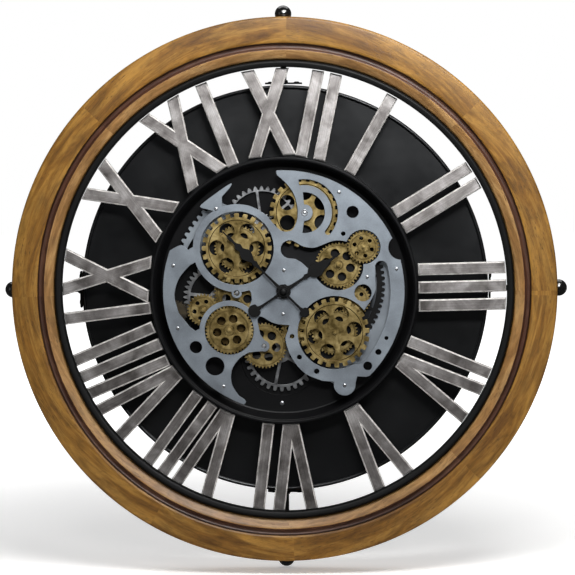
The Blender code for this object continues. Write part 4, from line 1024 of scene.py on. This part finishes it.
def fine_phases():
    """The phase of each fine wheel, so that all of them are in mesh at rest."""
    phases = {"centre_left": 0.0}
    steps = (
        ("centre_left", LARGE, "upper_left", LARGE),
        ("centre_left", LARGE, "lower_left", SMALL),
        ("centre_left", LARGE, "left_small", SMALL),
        ("left_small", SMALL, "drive_shaft", SHAFT_TEETH),
        ("lower_left", SMALL, "bottom", LARGE),
        ("bottom", LARGE, "idler", SMALL),
        ("idler", SMALL, "lower_right", LARGE),
        ("lower_right", LARGE, "right_small", SMALL),
        ("right_small", SMALL, "upper_right", LARGE),
        ("upper_right", LARGE, "right_front", FRONT_PINION),
        ("upper_left", LARGE, "silver_top", SILVER_PINION),
    )
    for known, teeth, new, new_teeth in steps:
        phases[new] = meshing_phase(PLACES[known], teeth, phases[known], PLACES[new], new_teeth)
    return phases


PHASES = fine_phases()


def fine_outline(teeth, phase):
    radius = FINE_MODULE * teeth / 2
    return toothed(teeth, radius + 0.80, radius - 1.25, phase)


def module_outline(module, teeth, phase):
    radius = module * teeth / 2
    return toothed(teeth, radius + 0.75 * module, radius - 1.15 * module, phase, 0.2, 0.26)


def arbor(back, front):
    return turned(knob_profile(rod_profile(ARBOR, back, front), 0.35), steps=28)


def embossed(mesh, front, radii, depth=0.35, width=0.9):
    """Cuts a ring groove into a wheel's face at each radius."""
    cutters = []
    for radius in radii:
        slope = [(radius - width, front + 0.4), (radius - width * 0.3, front - depth)]
        slope += [(radius + width * 0.3, front - depth), (radius + width, front + 0.4)]
        cutters.append(turned(slope, steps=128))
    return cut(mesh, *cutters)


def sunk(mesh, front, radius, depth=0.45):
    """Lowers a wheel's face inside this radius, with a sloping step."""
    floor, above = front - depth, front + 0.5
    profile = [(0, floor), (radius - 0.8, floor), (radius + 0.6, above), (0, above)]
    return cut(mesh, turned(profile, steps=128))


def hub(front, radius, rise=0.8):
    """A stepped boss with a domed pin, standing on a wheel's face."""
    profile = [(0, front - 0.4), (radius, front - 0.4), (radius, front + rise * 0.4)]
    profile += [(radius * 0.72, front + rise * 0.45), (radius * 0.66, front + rise * 0.2)]
    profile += [(radius * 0.42, front + rise * 0.2), (radius * 0.36, front + rise)]
    profile += [(radius * 0.12, front + rise * 1.2), (0, front + rise * 1.2)]
    return turned(profile, steps=48)


def add_wheel(name, mesh, finishes=None, node=None, rings=(), painted_shade_behind=0.0):
    """Puts a wheel drawn about the origin on its arbor, riding on its own body."""
    node = node or f"{name}_wheel"
    bodies = frame["record"]["behaviour"]["bodies"]
    body = next(body for body, nodes in bodies.items() if node in nodes)

    # Slopes of the ring grooves and faces deeper than the given depth take the dark brass: painted shade
    def finish(radius, depth, facing):
        if depth > PLATE[0] - 1.0 and radius < ARBOR and name in ("bottom", "centre_left"):
            return 2
        in_shaded_groove = 0.2 < facing < 0.97 and any(abs(radius - ring) < 1.1 for ring in rings)
        return 1 if in_shaded_groove or depth < painted_shade_behind else 0

    paint(mesh, finish)
    made = placed(mesh, *PLACES[name])
    finishes = finishes or [BRASS, BRASS_PAINTED_SHADE, GREY]
    return piece(f"{node}_shape", made, finishes, body, stands_for=[node], crease=28)


def coarse_mesh(phase, turn, layer_of, bore=True):
    outline = toothed(COARSE_TEETH, COARSE_TIP, COARSE_ROOT + 0.6, phase, 0.48, 0.40)
    holes = ring_of_holes(6, 22.0, 8.4, turn)
    if bore:
        holes.append(circle(HUB, ARBOR + 0.3))
    mesh = plate([outline, *holes], *layer_of, 0.25)
    return sunk(mesh, layer_of[1], 31.4, 0.7)


def fine_mesh(name, teeth, turn, hole_ring=None, rings=(), layer_of=FINE_WHEELS):
    radius, hole = hole_ring or ((13.5, 4.8) if teeth >= LARGE else (9.8, 2.3))
    outline = fine_outline(teeth, PHASES[name])
    mesh = plate([outline, *ring_of_holes(6, radius, hole, turn)], *layer_of, 0.15)
    return embossed(mesh, layer_of[1], rings)


def brass_wheels():
    rear = MID_PLATE[0] - 1.0
    capped = PLATE[0] - 0.3
    through = FRONT_WHEELS[1] + 1.0
    # Wheels in two decks on one arbor
    for name, phase, turn in (("upper_left", 0.0, -1.2), ("lower_right", 3.75, 10.0)):
        face = coarse_mesh(phase, turn, FRONT_WHEELS)
        add_wheel(name, face, rings=(31.2,))
        back = rear if name == "upper_left" else REAR_WHEELS[0] - 0.6
        mesh = union(fine_mesh(name, LARGE, turn, rings=(22.2,)), arbor(back, through))
        if name == "lower_right":
            place = PLACES[name]
            start = meshing_phase(PLACES["silver_bottom"], SILVER_BOTTOM, 0.0, place, BOTTOM_PINION)
            pinion = plate([module_outline(BOTTOM_MODULE, BOTTOM_PINION, start)], *REAR_WHEELS)
            mesh = union(mesh, pinion)
        add_wheel(name, mesh, node=f"{name}_arbor", rings=(22.2,), painted_shade_behind=MID_PLATE[1])
        core = placed(turned(rod_profile(ARBOR, 40, PIN_TOP)), *PLACES[name])
        pin = cut(placed(hub(FRONT_WHEELS[1] - 0.4, 3.2, 0.8), *PLACES[name]), core)
        piece(f"{name}_hub", pin, [BRASS], f"{name}_gear")
    # The top wheel turns behind the plate
    start = meshing_phase(PLACES["silver_top"], SILVER_TOP, 0.0, TOP, TOP_PINION)
    pinion = plate([module_outline(TOP_MODULE, TOP_PINION, start)], *REAR_WHEELS)
    mesh = union(coarse_mesh(1.25, 30.0, TOP_WHEEL, False), arbor(REAR_WHEELS[0] - 0.6, capped), pinion)
    add_wheel("top", mesh, rings=(31.2,), painted_shade_behind=MID_PLATE[1])
    # Fine wheels behind the plate: name, teeth, turn of the holes, front end of the arbor
    seen = PLATE[1] - 0.5
    for name, teeth, turn, front in (
        ("upper_right", LARGE, 46.5, capped),
        ("right_small", SMALL, 36.0, capped),
        ("left_small", SMALL, 10.0, capped),
        ("bottom", LARGE, 51.0, seen),
        ("centre_left", LARGE, 29.0, seen),
        ("idler", SMALL, 15.0, capped),
    ):
        rings = (21.8, 4.9) if teeth == LARGE else (13.6, 4.6)
        mesh = fine_mesh(name, teeth, turn, rings=rings)
        mesh = union(mesh, arbor(rear, front), hub(FINE_WHEELS[1], 3.2, 0.9))
        add_wheel(name, mesh, rings=rings)
    # Wheels whose face stands in the plate's windows, over a pinion behind it
    for name, pinion_teeth, teeth, holes, turn, rings in (
        ("right_front", FRONT_PINION, SMALL, (9.8, 2.2), 43.5, (13.7, 6.2)),
        ("lower_left", SMALL, 42, (13.4, 4.75), 9.7, (21.4, 5.6)),
    ):
        pinion = plate([fine_outline(pinion_teeth, PHASES[name])], *FINE_WHEELS)
        outline = fine_outline(teeth, 0.0)
        face = plate([outline, *ring_of_holes(6, *holes, turn)], *FRONT_WHEELS, 0.18)
        face = embossed(face, FRONT_WHEELS[1], rings)
        mesh = union(face, pinion, arbor(rear, through), hub(FRONT_WHEELS[1], 3.0, 0.8))
        if name == "right_front":
            stud = turned(knob_profile(rod_profile(0.45, 68.2, PIN_TOP), 0.1), steps=12)
            studs = [placed(stud, *polar(4.7, 36.0 * n)) for n in range(10)]
            mesh = union(mesh, *studs)
        add_wheel(name, mesh, rings=rings, painted_shade_behind=FINE_WHEELS[1] + 0.5)


def silver_wheels():
    ends = (DISH_FLOOR + 0.2, PLATE[0] - 0.3)
    short = (ends[0], MID_PLATE[0] - 1.0)
    outline = module_outline(TOP_MODULE, SILVER_TOP, 0.0)
    mesh = plate([outline, *spoke_windows(6, 9.0, 36.5, 3.0, 38.0)], *REAR_WHEELS, 0.25)
    pinion = plate([fine_outline(SILVER_PINION, PHASES["silver_top"])], *FINE_WHEELS)
    mesh = union(mesh, pinion, arbor(*ends), hub(REAR_WHEELS[1], 5.0, 0.9))
    add_wheel("silver_top", mesh, [GREY])
    radius = BOTTOM_MODULE * SILVER_BOTTOM / 2
    tip, root = radius + 0.75 * BOTTOM_MODULE, radius - 1.15 * BOTTOM_MODULE
    outline = toothed(SILVER_BOTTOM, tip, root, 0.0, 0.34, 0.38)
    mesh = plate([outline, *spoke_windows(5, 9.0, 34.0, 3.4, 42.0)], *REAR_WHEELS, 0.25)
    mesh = union(mesh, arbor(*short), hub(REAR_WHEELS[1], 5.0, 0.9))
    add_wheel("silver_bottom", mesh, [GREY])
    radius = LEFT_MODULE * SILVER_LEFT / 2
    outline = toothed(SILVER_LEFT, radius + 2.0, radius - 2.6, 0.0, 0.16, 0.24)
    mesh = plate([outline, *spoke_windows(5, 9.0, 31.0, 3.4, 30.0)], *REAR_WHEELS, 0.08)
    mesh = union(mesh, arbor(*short), hub(REAR_WHEELS[1], 5.0, 0.9))
    add_wheel("silver_left", mesh, [GREY])


def drive_shaft():
    centre = PLACES["drive_shaft"]
    start = meshing_phase(PLACES["silver_left"], SILVER_LEFT, 0.0, centre, LEFT_PINION)
    radius = LEFT_MODULE * LEFT_PINION / 2
    pinion = plate([toothed(LEFT_PINION, radius + 1.6, radius - 2.3, start, 0.16, 0.22)], *REAR_WHEELS)
    fine = plate([fine_outline(SHAFT_TEETH, PHASES["drive_shaft"])], *FINE_WHEELS, 0.15)
    back, front = layer("drive_shaft")
    mesh = union(fine, pinion, arbor(back, front))
    add_wheel("drive_shaft", mesh, [BRASS_BLACK], node="drive_shaft")


# ---------------------------------------------------------------- hands and what drives them


def hand_outline(half_widths):
    """A hand pointing up, from (distance from the hub, half width) pairs, tail first."""
    right = smooth([(width, reach) for reach, width in half_widths], 4)
    return [*right, *((-x, y) for x, y in reversed(right))]


def hands():
    hour = [(-45.0, 2.6), (-42.6, 5.6), (-38.2, 7.0), (-33.6, 5.4), (-30.6, 1.6), (-8.0, 1.6)]
    hour += [(-6.0, 5.6), (0.0, 8.2), (6.0, 5.6), (9.0, 2.0), (26.0, 1.4), (29.6, 2.8)]
    hour += [(33.4, 2.0), (37.0, 5.6), (44.5, 8.4), (51.0, 5.4), (56.0, 4.6), (60.0, 2.0)]
    hour += [(75.2, 0.7)]
    minute = [(-37.6, 2.0), (-35.4, 4.6), (-32.4, 5.6), (-29.0, 4.4), (-26.6, 1.5), (-7.0, 1.5)]
    minute += [(-4.5, 4.5), (0.0, 6.6), (4.5, 4.5), (8.0, 1.8), (31.0, 1.1), (40.0, 2.0)]
    minute += [(44.0, 3.0), (47.0, 2.0), (52.0, 4.6), (59.0, 6.4), (65.0, 3.0), (70.0, 4.0)]
    minute += [(75.0, 1.4), (83.0, 2.0), (86.0, 0.9), (93.4, 0.6)]
    mesh = plate([moved(hand_outline(hour), HUB, -HOUR_ANGLE), circle(HUB, 1.7)], *HOUR_HAND, 0.3)
    piece("hour_hand_shape", mesh, [MATT_BLACK], "hour_hand_body", ["hour_hand"])
    mesh = plate([moved(hand_outline(minute), HUB, -MINUTE_ANGLE)], *MINUTE_HAND, 0.3)
    pin = rod_profile(1.3, HOUR_HAND[0] - 0.2, MINUTE_HAND[1] - 0.4)
    mesh = union(mesh, turned(pin, steps=24))
    piece("minute_hand_shape", mesh, [MATT_BLACK], "minute_hand_body", ["minute_hand"])
    back, front = layer("hand_cap")
    cap = [(0, back), (4.2, back), (4.2, back + 1.2), (2.8, front - 0.7), (0, front)]
    mesh = turned(knob_profile(cap, 0.5), steps=48)
    piece("hand_cap_shape", mesh, [MATT_BLACK], "minute_hand_body", ["hand_cap"])


def cell(name, low, high, stands_for):
    """A dry cell along the box low to high, in a plain sleeve of two colours."""
    radius = min(high[k] - low[k] for k in (0, 1, 2)) / 2
    upright = high[1] - low[1] > high[0] - low[0]
    start, end = (low[1], high[1]) if upright else (low[0], high[0])
    middle = (low[0] + high[0]) / 2 if upright else (low[1] + high[1]) / 2
    depth = (low[2] + high[2]) / 2
    nub = end - 1.4
    profile = [(0, start), (radius * 0.62, start), (radius * 0.66, start + 0.5), (radius, start + 0.5)]
    profile += [(radius, nub - 0.6), (radius * 0.9, nub)]
    profile += [(radius * 0.38, nub), (radius * 0.38, end), (0, end)]
    mesh = turned(knob_profile(profile, 0.25), steps=48)
    mesh.transform(Matrix.Rotation(radians(-90), 4, "X"))
    if upright:
        mesh.transform(Matrix.Translation((middle * MM, -depth * MM, 0)))
    else:
        mesh.transform(Matrix.Rotation(radians(90), 4, "Y"))
        mesh.transform(Matrix.Translation((0, -depth * MM, middle * MM)))
    for face in mesh.polygons:
        along = (face.center.z if upright else face.center.x) / MM
        share = (along - start) / (end - start)
        face.material_index = 1 if 0.04 < share < 0.68 else 0
    piece(name, mesh, [GREY, PLASTIC], stands_for=[stands_for])


def box_of(node):
    low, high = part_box(node)
    return (low.x / MM, low.z / MM, -high.y / MM), (high.x / MM, high.z / MM, -low.y / MM)


def facing_back(mesh, middle_depth):
    """A mesh drawn with its bevelled face forwards, turned to face the wall about this depth."""
    flip = Matrix.Translation((0, -middle_depth * MM, 0)) @ Matrix.Scale(-1, 4, (0, 1, 0))
    made = transformed(mesh, flip @ Matrix.Translation((0, middle_depth * MM, 0)))
    made.flip_normals()
    return made


def movement():
    """The quartz movement: a ribbed case with its bush, cell, setting knob and case screws."""
    bush_front = box_of("movement_case")[1][2]
    half = half_width("movement_case")
    back, front = CASE
    middle = (back + front) / 2
    case = facing_back(plate([rounded_box((-half, -half), (half, half), 4.0)], back, front, 1.0), middle)
    pocket = plate([rounded_box((9.2, -26.0), (25.2, 26.0), 1.0)], back - 5, front - 3)
    well = turned(rod_profile(9.0, back - 5, back + 1.2), (-17.0, -14.0), 48)
    vents = [rounded_box((-24.0, y), (-2.0, y + 1.6), 0.7) for y in (4.0, 8.0, 12.0)]
    case = cut(case, pocket, well, *(plate([vent], back - 5, back + 0.9) for vent in vents))
    bush = rod_profile(4.5, front - 2, bush_front - 0.1)
    turns = 12
    thread = []
    for n in range(turns):
        depth = front + 3.0 + n * (bush_front - front - 4.0) / turns
        thread.append(turned([(4.2, depth), (5.2, depth - 0.5), (5.2, depth + 0.5)], steps=40))
    bush = cut(turned(knob_profile(bush, 0.3), steps=40), *thread)
    piece("movement_case_shape", joined(case, bush), [PLASTIC], stands_for=["movement_case"])
    nut_front = PLATE[1] - 15.0
    nut = plate([circle(HUB, 7.4, 6), circle(HUB, 4.5)], nut_front - 1.9, nut_front, 0.3)
    washer = plate([circle(HUB, 8.6), circle(HUB, 4.5)], DISH_FLOOR + 1.2, DISH_FLOOR + 1.9, 0.15)
    piece("bush_washer", washer, [BRASS])
    piece("bush_nut", nut, [BRASS])
    corners = ((-24.5, 24.5), (-24.5, -24.5), (5.0, -24.5), (5.0, 24.5))
    piece("case_screws", rear_screws(corners, back, 1.8), [GREY])
    cell("movement_cell", *box_of("movement_battery"), "movement_battery")
    knob_back, knob_front = layer("set_knob")
    rim = toothed(24, 7.0, 6.4, 0.0, 0.4, 0.3)
    knob = facing_back(plate([rim], knob_back, knob_front, 0.15), (knob_back + knob_front) / 2)
    bar = plate([rounded_box((-4.6, -0.8), (4.6, 0.8), 0.4)], knob_back - 1.0, knob_back + 0.8, 0.05)
    mesh = placed(cut(knob, bar), *PLACES["set_knob"])
    piece("set_knob_shape", mesh, [PLASTIC], "set_knob_body", ["set_knob"])


def gear_drive():
    """The battery box with the motor that turns the gears, its cell and its sliding switch."""
    low, high = box_of("drive_box")
    middle = (low[2] + high[2]) / 2
    outline = rounded_box((low[0], low[1]), (high[0], high[1]), 3.0)
    box = facing_back(plate([outline], low[2], high[2], 1.0), middle)
    pocket = rounded_box((low[0] + 4, low[1] + 3), (low[0] + 56, low[1] + 19), 1.0)
    slot = (low[0] + 40, high[1] - 14)
    track = rounded_box((slot[0] - 7, slot[1] - 3), (slot[0] + 7, slot[1] + 3), 1.0)
    cutters = [
        plate([pocket], low[2] - 5, high[2] - 2),
        plate([track], low[2] - 5, low[2] + 3),
        plate([circle(PLACES["drive_shaft"], 2.9)], high[2] - 3, high[2] + 5),
    ]
    for n in range(5):
        x = low[0] + 8 + 4.0 * n
        vent = rounded_box((x, high[1] - 18), (x + 1.4, high[1] - 6), 0.6)
        cutters.append(plate([vent], low[2] - 5, low[2] + 0.9))
    piece("drive_box_shape", cut(box, *cutters), [PLASTIC], stands_for=["drive_box"])
    corners = [(low[0] + 3.4, high[1] - 3.4), (high[0] - 3.4, high[1] - 3.4)]
    piece("box_screws", rear_screws(corners, low[2], 1.7), [GREY])
    cell("drive_cell", *box_of("drive_battery"), "drive_battery")
    low, high = box_of("drive_switch")
    lever = rounded_box((low[0], low[1]), (high[0], high[1]), 0.8)
    body = facing_back(plate([lever], low[2], high[2], 0.4), (low[2] + high[2]) / 2)
    ridges = []
    for n in range(3):
        x = low[0] + 0.9 + 1.3 * n
        ridge = rounded_box((x, low[1] - 1), (x + 0.5, high[1] + 1), 0.1)
        ridges.append(plate([ridge], low[2] - 1, low[2] + 0.4, 0.05))
    piece("drive_switch_shape", cut(body, *ridges), [PLASTIC], "switch_body", ["drive_switch"])


def pillars():
    """Turned spacers between the dish and the front plate, waisted in the middle."""
    for n in range(1, 6):
        low, high = box_of(f"pillar_{n}")
        place = ((low[0] + high[0]) / 2, (low[1] + high[1]) / 2)
        radius = (high[0] - low[0]) / 2
        back, front = low[2], high[2]
        profile = [(0, back), (radius, back), (radius, back + 3), (radius * 0.8, back + 4)]
        profile += [(radius * 0.8, front - 4), (radius, front - 3), (radius, front), (0, front)]
        mesh = turned(knob_profile(profile, 0.3), place, 32)
        piece(f"pillar_{n}_shape", mesh, [GREY], stands_for=[f"pillar_{n}"])


# ---------------------------------------------------------------- stage, light and camera

CAMERA_REACH = 2.35
CAMERA_AZIMUTH, CAMERA_ELEVATION, CAMERA_ROLL = 2.1, 4.5, 0.37  # degrees
FRAME_WIDTH = 0.6314  # metres across the picture, at the hands
AIM = Vector((0.0045, -0.070, 0.0044))
FLOOR = -0.3155


def light(name, place, target, size, power, colour=(1.0, 1.0, 1.0), sheen_only=False):
    data = bpy.data.lights.new(name, "AREA")
    data.shape = "RECTANGLE"
    data.size, data.size_y = size
    data.energy = power
    data.color = colour
    lamp = bpy.data.objects.new(name, data)
    lamp.location = place
    lamp.visible_diffuse = not sheen_only
    lamp.visible_camera = False
    lamp.rotation_euler = (Vector(target) - Vector(place)).to_track_quat("-Z", "Y").to_euler()
    bpy.context.scene.collection.objects.link(lamp)


def backdrop():
    """A pale floor just below the clock, glowing more the further it lies from the clock as painted light; what
    lies beyond it is the bright world.
    """
    near, far, half = -1.0, 7.0, 5.0
    mesh = bpy.data.meshes.new("pale_floor")
    corners = [(-half, near, FLOOR), (half, near, FLOOR), (half, far, FLOOR), (-half, far, FLOOR)]
    mesh.from_pydata(corners, [], [(0, 1, 2, 3)])
    paper = Finish("pale_floor_painted_glow", "stage")
    tone = paper.ramp(paper.noise(3.0, None, 2.0), (0.3, 0.90), (0.7, 0.93))
    reach = paper.node("ShaderNodeVectorMath", {0: paper.place}, operation="LENGTH")
    # The floor's own glow rises from 0.35 near the clock to 1 far off: painted light, dimmer near the clock
    rise = {"From Min": 0.45, "From Max": 1.3, "To Min": 0.35, "To Max": 1.0}
    far_glow = paper.node("ShaderNodeMapRange", {"Value": reach.outputs["Value"], **rise})
    glow = {"Emission_Color": (1.0, 1.0, 1.0), "Emission_Strength": far_glow.outputs["Result"]}
    mesh.materials.append(paper.finish(tone, 0.9, 0.0, Specular_IOR_Level=0.0, **glow))
    floor = bpy.data.objects.new("pale_floor", mesh)
    floor.visible_glossy = False
    bpy.context.scene.collection.objects.link(floor)


def studio():
    world = bpy.data.worlds.new("studio")
    world.use_nodes = True
    tree = world.node_tree
    ground = tree.nodes["Background"]
    seen = tree.nodes.new("ShaderNodeLightPath").outputs["Is Camera Ray"]
    strength = tree.nodes.new("ShaderNodeMapRange")
    strength.inputs["To Min"].default_value = 0.06
    strength.inputs["To Max"].default_value = 1.0
    tree.links.new(seen, strength.inputs["Value"])
    tree.links.new(strength.outputs["Result"], ground.inputs["Strength"])
    ground.inputs["Color"].default_value = (1.0, 1.0, 1.0, 1.0)
    bpy.context.scene.world = world
    bpy.context.scene.view_settings.view_transform = "Standard"
    light("key", (0.22, -0.62, 0.76), (0.05, 0, 0.10), (0.7, 0.35), 12.5, (1.0, 0.99, 0.97))
    light("sheen", (0.30, -1.4, 0.78), (0.08, 0, 0.12), (0.5, 0.25), 26.0, (0.94, 0.97, 1.0), True)
    light("front", (-0.5, -2.6, 1.9), (0, 0, 0), (1.4, 0.8), 7.0)
    light("fill_left", (-2.2, -1.8, 0.4), (0, 0, 0), (1.2, 1.6), 3.0)
    light("floor_wash", (0.0, 1.2, 2.2), (0, 0.9, FLOOR), (3.0, 2.0), 30.0)


def camera():
    azimuth, elevation = radians(CAMERA_AZIMUTH), radians(CAMERA_ELEVATION)
    away = Vector((sin(azimuth) * cos(elevation), -cos(azimuth) * cos(elevation), sin(elevation)))
    data = bpy.data.cameras.new("camera")
    data.sensor_width = 36.0
    data.lens = 36.0 * CAMERA_REACH / FRAME_WIDTH
    data.clip_end = 50.0
    made = bpy.data.objects.new("camera", data)
    look = (-away).to_track_quat("-Z", "Y").to_matrix().to_4x4()
    roll = Matrix.Rotation(radians(-CAMERA_ROLL), 4, "Z")
    made.matrix_world = Matrix.Translation(AIM + away * CAMERA_REACH) @ look @ roll
    bpy.context.scene.collection.objects.link(made)
    bpy.context.scene.camera = made


def main():
    repaint_frame()
    wood_ring()
    dial_hoop()
    gear_dish()
    back_drum()
    hanger_strap()
    support_rods()
    for hour, groups in NUMERALS.items():
        numeral(hour, groups)
    front_plate()
    mid_plate()
    toothed_sector()
    pillars()
    brass_wheels()
    silver_wheels()
    drive_shaft()
    hands()
    movement()
    gear_drive()
    backdrop()
    studio()
    camera()
    bpy.context.view_layer.update()


main()
